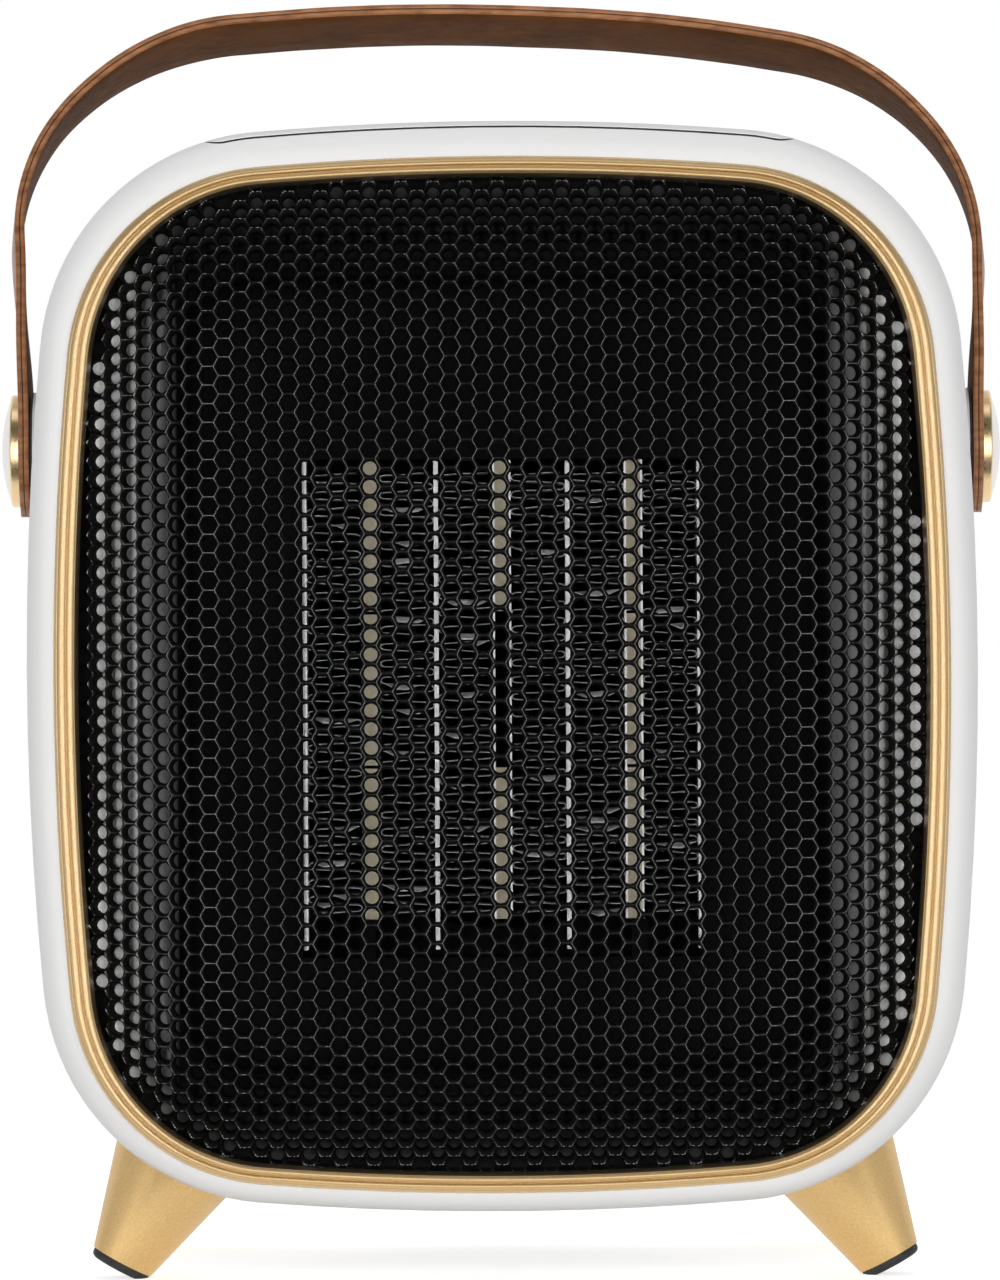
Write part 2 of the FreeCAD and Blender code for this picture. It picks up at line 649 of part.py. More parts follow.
def electrode(left):
    tab = block(left, left + PLATE_THICK, PACK_FRONT, PACK_FRONT + TERMINAL_WIDTH,
                PACK_BOTTOM - TERMINAL_DROP, PACK_BOTTOM)
    start = Vector(left - FIT_GAP, PACK_FRONT + TERMINAL_WIDTH / 2, PACK_BOTTOM - TERMINAL_DROP / 2)
    hole = rod(SCREW_R, start, PLATE_THICK + 2 * FIT_GAP, X_AXIS)
    return upright_sheet(left, PLATE_THICK).fuse(tab).cut(hole).removeSplitter()


def heater_pack():
    """Name and solid of each piece of the pack, from left to right."""
    pieces = []
    x = -PACK_HALF
    plates = ["electrode_" + place for place in ("outer_left", "inner_left", "inner_right", "outer_right")]
    columns = [("left", range(STONE_ROWS)), ("middle", (0, STONE_ROWS - 1)), ("right", range(STONE_ROWS))]
    for k, (side, rows) in enumerate(columns):
        pieces.append((plates[k], electrode(x)))
        x += PLATE_THICK
        pieces.append(("fin_bank_%d" % (2 * k + 1), fin_bank(x)))
        x += FIN_WIDTH
        stones_x = x + CONTACT_THICK
        sheets = [upright_sheet(x, CONTACT_THICK), upright_sheet(stones_x + STONE_THICK, CONTACT_THICK)]
        pieces.append(("contact_sheets_" + side, Part.makeCompound(sheets)))
        pieces.append(("ptc_stones_" + side, stone_column(stones_x, rows)))
        x = stones_x + STONE_THICK + CONTACT_THICK
        pieces.append(("fin_bank_%d" % (2 * k + 2), fin_bank(x)))
        x += FIN_WIDTH
    pieces.append((plates[-1], electrode(x)))
    return pieces


def fan_shroud():
    half_x = STANDOFF_X + STANDOFF_MARGIN
    half_z = STANDOFF_Z + STANDOFF_MARGIN
    plate = Part.Face(window(half_x, half_z, STANDOFF_MARGIN, SHROUD_Y, PACK_Z))
    plate = plate.extrude(Y_AXIS * SHROUD_PLATE)
    centre = Vector(0, SHROUD_Y, PACK_Z)
    barrel = rod(SHROUD_R + SHROUD_WALL, centre, SHROUD_DEPTH, Y_AXIS)
    flange_front = centre + Y_AXIS * (SHROUD_DEPTH - SHROUD_PLATE)
    flange = rod(SHROUD_R + BRACKET_RIM, flange_front, SHROUD_PLATE, Y_AXIS)
    shroud = plate.fuse([barrel, flange])
    cuts = [rod(SHROUD_R, centre + Y_AXIS * SHROUD_PLATE, SHROUD_DEPTH, Y_AXIS)]
    mouth = block(-DUCT_HALF, DUCT_HALF, SHROUD_Y - WALL, SHROUD_Y + SHROUD_PLATE, DUCT_BOTTOM, DUCT_TOP)
    cuts.append(mouth.common(rod(SHROUD_R, centre - Y_AXIS * WALL, SHROUD_DEPTH, Y_AXIS)))
    cuts.extend(rod(SCREW_R + SCREW_GAP, Vector(x, SHROUD_Y - WALL, z), SHROUD_PLATE + 2 * WALL, Y_AXIS)
                for x, z in STANDOFFS)
    cuts.extend(rod(SCREW_R + SCREW_GAP, spot - Y_AXIS * SHROUD_PLATE, SHROUD_PLATE, Y_AXIS)
                for spot in bracket_screw_spots())
    return shroud.cut(cuts).removeSplitter()


def bracket_screw_spots():
    reach = SHROUD_R + BRACKET_RIM / 2 + SHROUD_WALL / 2
    spots = []
    for k in range(BRACKET_SCREWS):
        angle = 2 * math.pi * (k + 0.5) / BRACKET_SCREWS
        spots.append(Vector(reach * math.cos(angle), SHROUD_BACK, PACK_Z + reach * math.sin(angle)))
    return spots


def motor_bracket():
    """Rim on the shroud's back flange, four arms and a plate for the motor."""
    centre = Vector(0, SHROUD_BACK, PACK_Z)
    rim = tube(SHROUD_R + BRACKET_RIM, SHROUD_R, centre, BRACKET_THICK, Y_AXIS)
    plate = rod(MOTOR_R, centre, BRACKET_THICK, Y_AXIS)
    arms = []
    for k in range(BRACKET_SCREWS):
        arm = block(0, SHROUD_R + SHROUD_WALL, SHROUD_BACK, BRACKET_BACK, -BRACKET_ARM / 2, BRACKET_ARM / 2)
        arm.rotate(Vector(), Y_AXIS, 360.0 * (k + 0.5) / BRACKET_SCREWS)
        arm.translate(Vector(0, 0, PACK_Z))
        arms.append(arm)
    cuts = [rod(MOTOR_NOSE_R + SCREW_GAP, centre - Y_AXIS, BRACKET_THICK + 2, Y_AXIS)]
    spots = bracket_screw_spots() + [Vector(sx * MOTOR_SCREW_X, SHROUD_BACK, PACK_Z) for sx in (1, -1)]
    cuts.extend(rod(SCREW_R + SCREW_GAP, spot, BRACKET_THICK, Y_AXIS) for spot in spots)
    return rim.fuse([plate] + arms).cut(cuts).removeSplitter()


def motor_body():
    front = Vector(0, BRACKET_BACK, PACK_Z)
    can = rod(MOTOR_R, front, MOTOR_LENGTH, Y_AXIS)
    can = can.makeFillet(MOTOR_ROUND, edges_in_plane(can, BRACKET_BACK + MOTOR_LENGTH))
    nose = rod(MOTOR_NOSE_R, front - Y_AXIS * BRACKET_THICK, BRACKET_THICK, Y_AXIS)
    tail = rod(MOTOR_NOSE_R, front + Y_AXIS * MOTOR_LENGTH, SHAFT_TAIL, Y_AXIS)
    cuts = [rod(SHAFT_R + SHAFT_GAP, front - Y_AXIS * FAR / 2, FAR, Y_AXIS)]
    for x in (MOTOR_SCREW_X, -MOTOR_SCREW_X):
        cuts.append(rod(SCREW_R + SCREW_GAP, front + X_AXIS * x, SCREW_BITE, Y_AXIS))
    return can.fuse([nose, tail]).cut(cuts).removeSplitter()


def fan_impeller():
    middle_y = FAN_FRONT + FAN_DEPTH / 2
    hub = rod(HUB_R, Vector(0, FAN_FRONT, PACK_Z), FAN_DEPTH, Y_AXIS)
    hub = hub.makeFillet(MOTOR_ROUND, edges_in_plane(hub, FAN_FRONT))
    blades = []
    for k in range(BLADES):
        sections = []
        for reach, pitch in ((HUB_R - BLADE_THICK, ROOT_PITCH), (FAN_R + BLADE_THICK, TIP_PITCH)):
            corners = [Vector(sx * BLADE_CHORD / 2, sy * BLADE_THICK / 2, reach)
                       for sx, sy in ((-1, -1), (1, -1), (1, 1), (-1, 1))]
            wire = Part.makePolygon(corners + corners[:1])
            wire.rotate(Vector(), Z_AXIS, pitch)
            sections.append(wire)
        blade = Part.makeLoft(sections, True, True)
        blade.rotate(Vector(), Y_AXIS, 360.0 * k / BLADES)
        blade.translate(Vector(0, middle_y, PACK_Z))
        blades.append(blade)
    disc = rod(FAN_R, Vector(0, FAN_FRONT, PACK_Z), FAN_DEPTH, Y_AXIS)
    wheel = hub.fuse([b.common(disc) for b in blades])
    bore = rod(SHAFT_R, Vector(0, FAN_FRONT + MOTOR_ROUND, PACK_Z), FAN_DEPTH, Y_AXIS)
    return wheel.cut(bore).removeSplitter()


def motor_shaft():
    start = FAN_FRONT + MOTOR_ROUND
    end = BRACKET_BACK + MOTOR_LENGTH + 2 * SHAFT_TAIL
    return rod(SHAFT_R, Vector(0, start, PACK_Z), end - start, Y_AXIS)


def screw(seat, axis, grip):
    """Pan-head screw: its head stands on the seat, its shank runs along the axis."""
    return rod(SCREW_HEAD_R, seat - axis * SCREW_HEAD, SCREW_HEAD, axis).fuse(
        rod(SCREW_R, seat, grip, axis)).removeSplitter()


def screw_groups():
    back = Y_AXIS * -1
    groups = {}
    groups["frame_screws"] = [screw(Vector(x, BULKHEAD_BACK, z), back, BULKHEAD_THICK + SCREW_BITE)
                              for x, z in FRAME_POSTS]
    groups["shroud_screws"] = [screw(Vector(x, SHROUD_Y + SHROUD_PLATE, z), back, SHROUD_PLATE + SCREW_BITE)
                               for x, z in STANDOFFS]
    groups["bracket_screws"] = [screw(spot + Y_AXIS * BRACKET_THICK, back, BRACKET_THICK + SHROUD_PLATE)
                                for spot in bracket_screw_spots()]
    groups["motor_screws"] = [screw(Vector(sx * MOTOR_SCREW_X, SHROUD_BACK, PACK_Z), Y_AXIS,
                                    BRACKET_THICK + SCREW_BITE - SCREW_R) for sx in (1, -1)]
    groups["case_screws"] = [screw(Vector(x, PARTING + CASE_SCREW_SEAT, z), back,
                                   CASE_SCREW_SEAT + SCREW_BITE) for x, z in CASE_POSTS]
    groups["board_screws"] = [screw(Vector(x, y, BOARD_UNDER), Z_AXIS, SCREW_BITE - SCREW_GAP)
                              for x, y in BOARD_POSTS]
    legs = []
    for name, sx, sy in LEG_SIGNS:
        centre, axis = leg_axis(sx)
        inside_r = CORNER_R + INSIDE
        seat = math.sqrt(inside_r ** 2 - SCREW_HEAD_R ** 2) - LEG_SCREW_SEAT
        grip = CORNER_R + RING_WIDTH + LEG_SCREW_BITE - seat
        legs.append(screw(centre + Vector(0, sy * LEG_Y, 0) + axis * seat, axis, grip))
    groups["leg_screws"] = legs
    return groups


def control_panel():
    panel = PANEL_SKIN.common(panel_prism(0))
    return panel.cut(top_holes(BUTTON_PLAY)).removeSplitter()


def panel_seal():
    """Dark seal that fills the groove between the control panel and the casing, just under its surface."""
    groove = panel_prism(PANEL_GAP - SEAL_PLAY).cut(panel_prism(SEAL_PLAY))
    return casing_skin(SEAL_SINK, PANEL_THICK).common(groove)


def button(sx):
    x = sx * BUTTON_X
    top = CASE_TOP - crown_drop(BUTTON_X) + BUTTON_PROUD
    flange_top = PANEL_UNDER - crown_drop(BUTTON_X + BUTTON_R + BUTTON_FLANGE) - FIT_GAP
    flange_under = flange_top - BUTTON_FLANGE_THICK
    cap = rod(BUTTON_R, Vector(x, BUTTON_Y, flange_under), top - flange_under, Z_AXIS)
    rim = [e for e in cap.Edges if abs(e.BoundBox.ZMin - top) < 1e-4]
    cap = cap.makeFillet(BUTTON_ROUND, rim)
    flange = rod(BUTTON_R + BUTTON_FLANGE, Vector(x, BUTTON_Y, flange_under), BUTTON_FLANGE_THICK, Z_AXIS)
    stem = rod(STEM_R, Vector(x, BUTTON_Y, flange_under - STEM_LENGTH), STEM_LENGTH, Z_AXIS)
    return cap.fuse([flange, stem]).removeSplitter()


def status_lens():
    return rod(LENS_R, Vector(0, BUTTON_Y, BOARD_TOP), CASE_TOP - BOARD_TOP, Z_AXIS).common(CASE_OUTER)


def control_board():
    half_w = BOARD_WIDTH / 2
    half_d = BOARD_DEPTH / 2
    board = block(-half_w, half_w, BUTTON_Y - half_d, BUTTON_Y + half_d, BOARD_UNDER, BOARD_TOP)
    return board.cut([rod(SCREW_R + SCREW_GAP, Vector(x, y, BOARD_UNDER), BOARD_THICK, Z_AXIS)
                      for x, y in BOARD_POSTS])


def button_switches():
    switches = []
    half = SWITCH_SIZE / 2
    for sx in (1, -1):
        x = sx * BUTTON_X
        base = block(x - half, x + half, BUTTON_Y - half, BUTTON_Y + half, BOARD_TOP, SWITCH_TOP - SWITCH_TIP)
        tip = rod(SWITCH_TIP_R, Vector(x, BUTTON_Y, SWITCH_TOP - SWITCH_TIP), SWITCH_TIP, Z_AXIS)
        switches.append(base.fuse(tip).removeSplitter())
    return Part.makeCompound(switches)


def thermal_cutout():
    """Round bimetal switch on a flat foot, on top of the heater duct."""
    middle_y = (BULKHEAD_BACK + SHROUD_Y) / 2
    seat = DUCT_TOP + DUCT_WALL
    foot = block(CUTOUT_X - CUTOUT_FLANGE / 2, CUTOUT_X + CUTOUT_FLANGE / 2,
                 middle_y - CUTOUT_R / 2, middle_y + CUTOUT_R / 2, seat, seat + PLATE_THICK)
    body = rod(CUTOUT_R, Vector(CUTOUT_X, middle_y, seat), CUTOUT_HEIGHT, Z_AXIS)
    tabs = []
    for x in (CUTOUT_X - CUTOUT_R / 2, CUTOUT_X + CUTOUT_R / 2):
        tabs.append(block(x - PLATE_THICK / 2, x + PLATE_THICK / 2,
                          middle_y - TERMINAL_WIDTH / 2, middle_y + TERMINAL_WIDTH / 2,
                          seat + CUTOUT_HEIGHT, seat + CUTOUT_HEIGHT + TERMINAL_DROP))
    return body.fuse([foot] + tabs).removeSplitter()


def thermal_fuse():
    """Sleeved fuse lying on the heater duct, flat underneath where it is bonded."""
    middle_y = (BULKHEAD_BACK + SHROUD_Y) / 2
    seat = DUCT_TOP + DUCT_WALL
    start = Vector(FUSE_X - FUSE_LENGTH / 2, middle_y, seat + FUSE_R - FIT_GAP)
    return rod(FUSE_R, start, FUSE_LENGTH, X_AXIS).cut(block(-FAR, FAR, -FAR, FAR, -FAR, seat))


def tilt_block(bottom, top):
    """Upright block with the tilt switch's plan."""
    half_w = TILT_WIDTH / 2
    half_d = TILT_DEPTH / 2
    return block(TILT_X - half_w, TILT_X + half_w, TILT_Y - half_d, TILT_Y + half_d, bottom, top)


def tilt_switch():
    case = tilt_block(TILT_SEAT, TILT_SEAT + TILT_HEIGHT)
    upright = [e for e in case.Edges if e.BoundBox.ZLength > TILT_HEIGHT / 2]
    return case.makeFillet(TILT_ROUND, upright)


def intake_filter():
    """Black felt sheet that lies on the rear wall behind the intake slots."""
    front = CASE_REAR - WALL - FILTER_THICK
    sheet = Part.Face(window(FILTER_HALF, FILTER_HALF, FILTER_CORNER, front, PACK_Z))
    return sheet.extrude(Y_AXIS * FILTER_THICK)


def cord_gland():
    start = Vector(GLAND_X, CASE_REAR, GLAND_Z)
    inner = start - Y_AXIS * (WALL + GLAND_TAIL)
    sleeve = rod(GLAND_R, inner, WALL + GLAND_TAIL, Y_AXIS)
    flange = rod(GLAND_FLANGE_R, start, GLAND_PROUD, Y_AXIS)
    flange = flange.makeFillet(GLAND_PROUD / 2, edges_in_plane(flange, CASE_REAR + GLAND_PROUD))
    bore = rod(GLAND_BORE_R, inner, WALL + GLAND_TAIL + GLAND_PROUD, Y_AXIS)
    return sleeve.fuse(flange).cut(bore).removeSplitter()


def hexagon_nut(width, hole_r, start, thick, axis):
    corners = []
    for k in range(6):
        angle = math.radians(60 * k)
        side = Y_AXIS if axis.x else X_AXIS
        spoke = side * math.cos(angle) + Z_AXIS * math.sin(angle)
        corners.append(start + spoke * (width / math.sqrt(3)))
    prism = Part.Face(Part.makePolygon(corners + corners[:1])).extrude(axis * thick)
    return prism.cut(rod(hole_r, start, thick, axis))


def gland_nut():
    start = Vector(GLAND_X, CASE_REAR - WALL - GLAND_NUT, GLAND_Z)
    return hexagon_nut(2 * GLAND_FLANGE_R, GLAND_R + SCREW_GAP, start, GLAND_NUT, Y_AXIS)


def leg(sx, sy):
    centre, axis = leg_axis(sx)
    centre = centre + Vector(0, sy * LEG_Y, 0)
    start = CORNER_R + RING_WIDTH - LEG_SINK
    length = leg_end() - start
    top_r = LEG_END_R + length * math.tan(math.radians(LEG_TAPER))
    cone = Part.makeCone(top_r, LEG_END_R, length, centre + axis * start, axis)
    hole = rod(SCREW_R + SCREW_GAP, centre + axis * start, LEG_SINK + LEG_SCREW_BITE + SCREW_R, axis)
    socket = rod(PEG_R + SCREW_GAP, centre + axis * (leg_end() - PEG_LENGTH), PEG_LENGTH, axis)
    return cone.cut([CASE_OUTER, hole, socket])


def foot_pad(sx, sy):
    """Rubber pad plugged into the leg's end, worn flat where it meets the floor."""
    centre, axis = leg_axis(sx)
    end = centre + Vector(0, sy * LEG_Y, 0) + axis * leg_end()
    disc = rod(LEG_END_R - PAD_INSET, end, PAD_THICK, axis)
    rims = [e for e in disc.Edges if len(e.Vertexes) == 1]
    far_rim = [e for e in rims if (e.CenterOfMass - end).Length > PAD_THICK / 2]
    disc = disc.makeFillet(PAD_ROUND, far_rim)
    peg = rod(PEG_R, end - axis * PEG_LENGTH, PEG_LENGTH, axis)
    return disc.fuse(peg).cut(block(-FAR, FAR, -FAR, FAR, -FAR, 0)).removeSplitter()


def strap_middle_line():
    """Corners of the strap's line from left rivet to right rivet, as (x, height over the rivets)."""
    side = STRAP_IN + STRAP_THICK / 2
    tail = -STRAP_WIDTH / 2
    return [(-side, tail), (-side, 19.0), (-side - 2.4, 55.3), (-66.5, 78.9), (-20.1, 82.6),
            (30.0, 80.5), (69.2, 73.8), (side + 1.0, 50.2), (side, 19.0), (side, tail)]


def strap_run(points, offset):
    """Edges of the rounded line through the points, moved to its left by the offset."""
    edges = []
    corners = [Vector(x, 0, z) for x, z in points]
    last = None
    for before, corner, after in zip(corners, corners[1:], corners[2:]):
        inward = (before - corner).normalize()
        onward = (after - corner).normalize()
        half_turn = (math.pi - inward.getAngle(onward)) / 2
        reach = STRAP_SHARE * min((before - corner).Length, (after - corner).Length)
        radius = reach / math.tan(half_turn)
        bisector = (inward + onward).normalize()
        centre = corner + bisector * (radius / math.cos(half_turn))
        left = Vector(inward.z, 0, -inward.x)
        grown = radius - offset * math.copysign(1, bisector.dot(left))
        first = centre + (corner + inward * reach - centre).normalize() * grown
        middle = centre - bisector * grown
        final = centre + (corner + onward * reach - centre).normalize() * grown
        start = last if last else corners[0] + left * offset
        edges.append(Part.makeLine(start, first))
        edges.append(arc(first, middle, final))
        last = final
    onward = (corners[-1] - corners[-2]).normalize()
    left = Vector(-onward.z, 0, onward.x)
    edges.append(Part.makeLine(last, corners[-1] + left * offset))
    return edges


def handle_strap():
    points = strap_middle_line()
    outer = strap_run(points, STRAP_THICK / 2)
    inner = strap_run(points, -STRAP_THICK / 2)
    ends = [Part.makeLine(outer[0].Vertexes[0].Point, inner[0].Vertexes[0].Point),
            Part.makeLine(outer[-1].Vertexes[1].Point, inner[-1].Vertexes[1].Point)]
    wire = Part.Wire(Part.__sortEdges__(outer + inner + ends))
    band = Part.Face(wire).extrude(Vector(0, STRAP_WIDTH, 0))
    band.translate(Vector(0, -STRAP_WIDTH / 2, 0))
    square_ends = block(-FAR, FAR, -STRAP_WIDTH, STRAP_WIDTH, -STRAP_WIDTH, 0)
    round_ends = rod(STRAP_WIDTH / 2, Vector(-FAR, 0, 0), 2 * FAR, X_AXIS)
    holes = rod(SHANK_R + SHANK_GAP, Vector(-FAR, 0, 0), 2 * FAR, X_AXIS)
    band = band.cut([square_ends.cut(round_ends), holes])
    band.rotate(Vector(), X_AXIS, -STRAP_LEAN)
    band.translate(Vector(0, 0, RIVET_Z))
    return band


def strap_cap(sx):
    """Rivet cap: a gold band with a low dome, and the shank that goes through strap and casing."""
    seat = Vector(sx * CAP_IN, 0, RIVET_Z)
    axis = X_AXIS * sx
    band = rod(CAP_R, seat, CAP_BAND, axis)
    rims = [e for e in band.Edges if len(e.Vertexes) == 1 and e.BoundBox.XLength < CAP_ROUND]
    outer_rim = [e for e in rims if abs(e.CenterOfMass.x) > CAP_IN + CAP_BAND / 2]
    band = band.makeFillet(CAP_ROUND, outer_rim)
    ball_r = (CAP_DOME_R ** 2 + CAP_DOME ** 2) / (2 * CAP_DOME)
    ball = Part.makeSphere(ball_r, seat + axis * (CAP_BAND + CAP_DOME - ball_r))
    dome = ball.common(rod(CAP_DOME_R, seat + axis * (CAP_BAND - CAP_ROUND), CAP_DOME + 2 * CAP_ROUND, axis))
    nut_end = BOSS_FACE - BOSS_DEPTH - NUT_THICK - STRAP_THICK
    shank = rod(SHANK_R, Vector(sx * nut_end, 0, RIVET_Z), CAP_IN - nut_end, axis)
    return band.fuse([dome, shank]).removeSplitter()


def strap_washers():
    washers = []
    for name, sx in SIDES:
        start = Vector(sx * BOSS_FACE, 0, RIVET_Z)
        washers.append(tube(BOSS_R, SHANK_R + SHANK_GAP, start, WASHER_THICK, X_AXIS * sx))
    return Part.makeCompound(washers)


def strap_nuts():
    nuts = []
    for name, sx in SIDES:
        start = Vector(sx * (BOSS_FACE - BOSS_DEPTH), 0, RIVET_Z)
        nuts.append(hexagon_nut(NUT_WIDTH, SHANK_R + SHANK_GAP, start, NUT_THICK, X_AXIS * -sx))
    return Part.makeCompound(nuts)


def build():
    nodes = {
        "front_shell": front_shell(),
        "rear_shell": rear_shell(),
        "trim_ring": trim_ring(),
        "front_grille": front_grille(),
        "outlet_funnel": outlet_funnel(),
        "heater_frame": heater_frame(),
        "fan_shroud": fan_shroud(),
        "motor_bracket": motor_bracket(),
        "motor_body": motor_body(),
        "motor_shaft": motor_shaft(),
        "fan_impeller": fan_impeller(),
        "control_panel": control_panel(),
        "panel_seal": panel_seal(),
        "power_button": button(-1),
        "mode_button": button(1),
        "status_lens": status_lens(),
        "control_board": control_board(),
        "button_switches": button_switches(),
        "thermal_cutout": thermal_cutout(),
        "thermal_fuse": thermal_fuse(),
        "tilt_switch": tilt_switch(),
        "intake_filter": intake_filter(),
        "cord_gland": cord_gland(),
        "gland_nut": gland_nut(),
        "handle_strap": handle_strap(),
        "strap_washers": strap_washers(),
        "strap_nuts": strap_nuts(),
    }
    nodes.update(heater_pack())
    for name, screws in screw_groups().items():
        nodes[name] = Part.makeCompound(screws)
    for name, sx, sy in LEG_SIGNS:
        nodes["leg_" + name] = leg(sx, sy)
        nodes["pad_" + name] = foot_pad(sx, sy)
    for name, sx in SIDES:
        nodes["strap_cap_" + name] = strap_cap(sx)
    return nodes


os.makedirs("parts", exist_ok=True)
for node, shape in build().items():
    shape.exportStep("parts/%s.step" % node)
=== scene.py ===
import json
import math
import random

import bpy
from mathutils import Matrix, Vector


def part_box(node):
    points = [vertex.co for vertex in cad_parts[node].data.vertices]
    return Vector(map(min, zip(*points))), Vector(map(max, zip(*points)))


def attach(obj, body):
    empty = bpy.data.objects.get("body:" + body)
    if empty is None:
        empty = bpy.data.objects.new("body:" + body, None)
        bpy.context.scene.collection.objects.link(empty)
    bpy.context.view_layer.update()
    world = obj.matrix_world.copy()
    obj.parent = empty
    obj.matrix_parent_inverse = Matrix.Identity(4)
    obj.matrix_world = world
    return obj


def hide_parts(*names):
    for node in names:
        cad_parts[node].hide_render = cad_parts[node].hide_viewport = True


# Looks of the ceramic fan heater: materials for its solids, and finer pieces in place of the trim,
# the honeycomb grille, the heater's fins and the leather strap.
# Sizes are in millimetres, as in the part's source.
MM = 0.001

# Outline of the trim, eight tangent arcs
TRIM_WIDTH = 162.0
TRIM_HEIGHT = 187.2
SIDE_BOW_R = 620.0
TOP_BOW_R = 544.0
CORNER_R = 37.4
TRIM_Z = 109.9
SIDE_STEPS = 18
CORNER_STEPS = 26

# Trim section
TRIM_FRONT = -64.0
CASE_FRONT = -62.4
TRIM_SEAT = 0.15
LIP_WIDTH = 0.72
LIP_RISE = 0.9
LIP_STEPS = 6
BEAD_WIDTH = 1.46
BEAD_STEP = 0.12
BEAD_SPANS = 8
TRIM_SQUEEZE = 0.17
BEAD_TURN = 68.0
COLLAR = 2.1
INNER_ROUND = 0.16
WALL_SLOPE = 0.35
WALL_END = -55.8

# Grille: a flat middle whose border bows back
GRILLE_FRONT = -62.9
GRILLE_THICK = 2.3
BORDER = 32.0
BOW_R = 56.0
RIM_LINE = 2.6
OPEN_LINE = 3.0
RIM_OUTER = 0.7
RIM_INNER = 4.2
RIM_FRONT = -54.9
RIM_BACK = -54.1

# Honeycomb cells: a crest along the hexagon, a web that grows round, and a round hole
CELL_PITCH = 3.368
CELL_X = 1.02
CELL_Z = 2.0
CREST = [(0.0, 0.0), (0.05, 0.010), (0.10, 0.05)]
WEB_R = 1.54
WEB_SHARE = 0.6
WEB_DEPTH = 0.20
HOLE_R = 1.44
HOLE_END = 1.27
HOLE_DEPTH = 0.42
BLIND_INSET = 0.6
BLIND_DEPTH = 0.6
CELL_POINTS = 12
WELD_DIGITS = 3
SLIVER = 0.001

# Fins: a folded ribbon between two plates
FIN_THICK = 0.17
FIN_STEP = 1.55
FIN_TILT = 0.22
FIN_SHAKE = 0.07
FOLD_DEPTH = 1.1
FOLD_DROP = 1.0
FOLD_LEAST = 0.7
FOLD_PULL = 0.9
FOLD_SHARE = 0.09
FIN_SPANS = 4
FIN_BENDS = 6
FIN_BANKS = 6
SEED = 7

# Strap
RIVET_Z = 152.1
STRAP_LEAN = 10.5
STRAP_SHARE = 0.49
STRAP_WIDTH = 25.0
STRAP_THICK = 1.9
STRAP_SIDE = 88.95
STRAP_LINE = [(-STRAP_SIDE, -12.5), (-STRAP_SIDE, 8.0), (-STRAP_SIDE - 2.7, 55.3), (-66.5, 78.9),
              (-20.1, 82.6), (30.0, 80.5), (69.2, 73.8), (STRAP_SIDE + 1.7, 50.2), (STRAP_SIDE, 8.0),
              (STRAP_SIDE, -12.5)]
STRAP_STEP = 1.6
STRAP_TWIST = 4.3
TWIST_FOOT = 13.0
TWIST_RISE = 25.0
TWIST_X = 52.0
TWIST_SPAN = 34.0

# Cut edge of the strap's upper layer, as (inset, height) points down to the glue, which lies deeper
LAYER_EDGE = [(0.50, 0.95), (0.14, 0.82), (0.0, 0.47), (0.0, 0.26), (0.09, 0.09)]
GLUE_DEPTH = 0.24
EDGE_TRIM = 0.09
END_HALF = 0.7

# Unevenness along the edge, as (size, pace, start) of each wave
EDGE_WAVES = [(0.05, 0.31, 0.0), (0.04, 0.83, 1.0)]

# Material places on the strap
OUTER, INNER, EDGE, GLUE = range(4)

# Rivet caps: how far from the middle the dome begins
DOME_START = 91.6
DOME_SOFT = 0.1

# Painted light on the outlet funnel's flanks: where it begins and ends from the middle, and how bright its
# inner part is; the rest of the funnel is painted shade
FLANK_INNER = 59.0
FLANK_SOFT = 1.2
FLANK_SHADE = 0.42
FLANK_STEP = 66.0
STEP_SOFT = 0.5
FLANK_FULL = 62.0
FLANK_GONE = 84.0

# Studio: levels of the world and floor, and where the dim room behind the camera begins
WORLD_LEVEL = 0.8
ROOM_START = 0.0
ROOM_END = 0.5
ROOM_DARK = 0.07
SIDE_START = 0.5
SIDE_END = 0.9
SIDE_LEVEL = 0.6
FLOOR_GLOW = 0.65
FLOOR_EDGE = -0.085
FLOOR_REACH = 8.0

# Softboxes: what they point at, in metres
LIGHT_AIM = (0.0, 0.0, 0.11)

# Camera, in front of the trim
CAMERA_DISTANCE = 1600.0
PIXEL = 0.1803
CAMERA_X = -0.4
CAMERA_Z = 112.5
AIM_Z = 116.1
CAMERA_ROLL = -0.31
LONG_SIDE = 1280
SENSOR = 36.0
CLIP_START = 0.05
CLIP_END = 50.0

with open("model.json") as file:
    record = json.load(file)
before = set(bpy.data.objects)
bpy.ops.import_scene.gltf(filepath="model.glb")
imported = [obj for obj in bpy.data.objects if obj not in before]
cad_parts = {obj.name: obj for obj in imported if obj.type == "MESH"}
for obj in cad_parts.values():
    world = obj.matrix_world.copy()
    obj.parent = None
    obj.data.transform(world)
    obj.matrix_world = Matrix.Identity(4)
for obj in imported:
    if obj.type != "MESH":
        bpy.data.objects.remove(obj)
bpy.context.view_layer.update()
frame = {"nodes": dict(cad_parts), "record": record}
NODES = frame["nodes"]


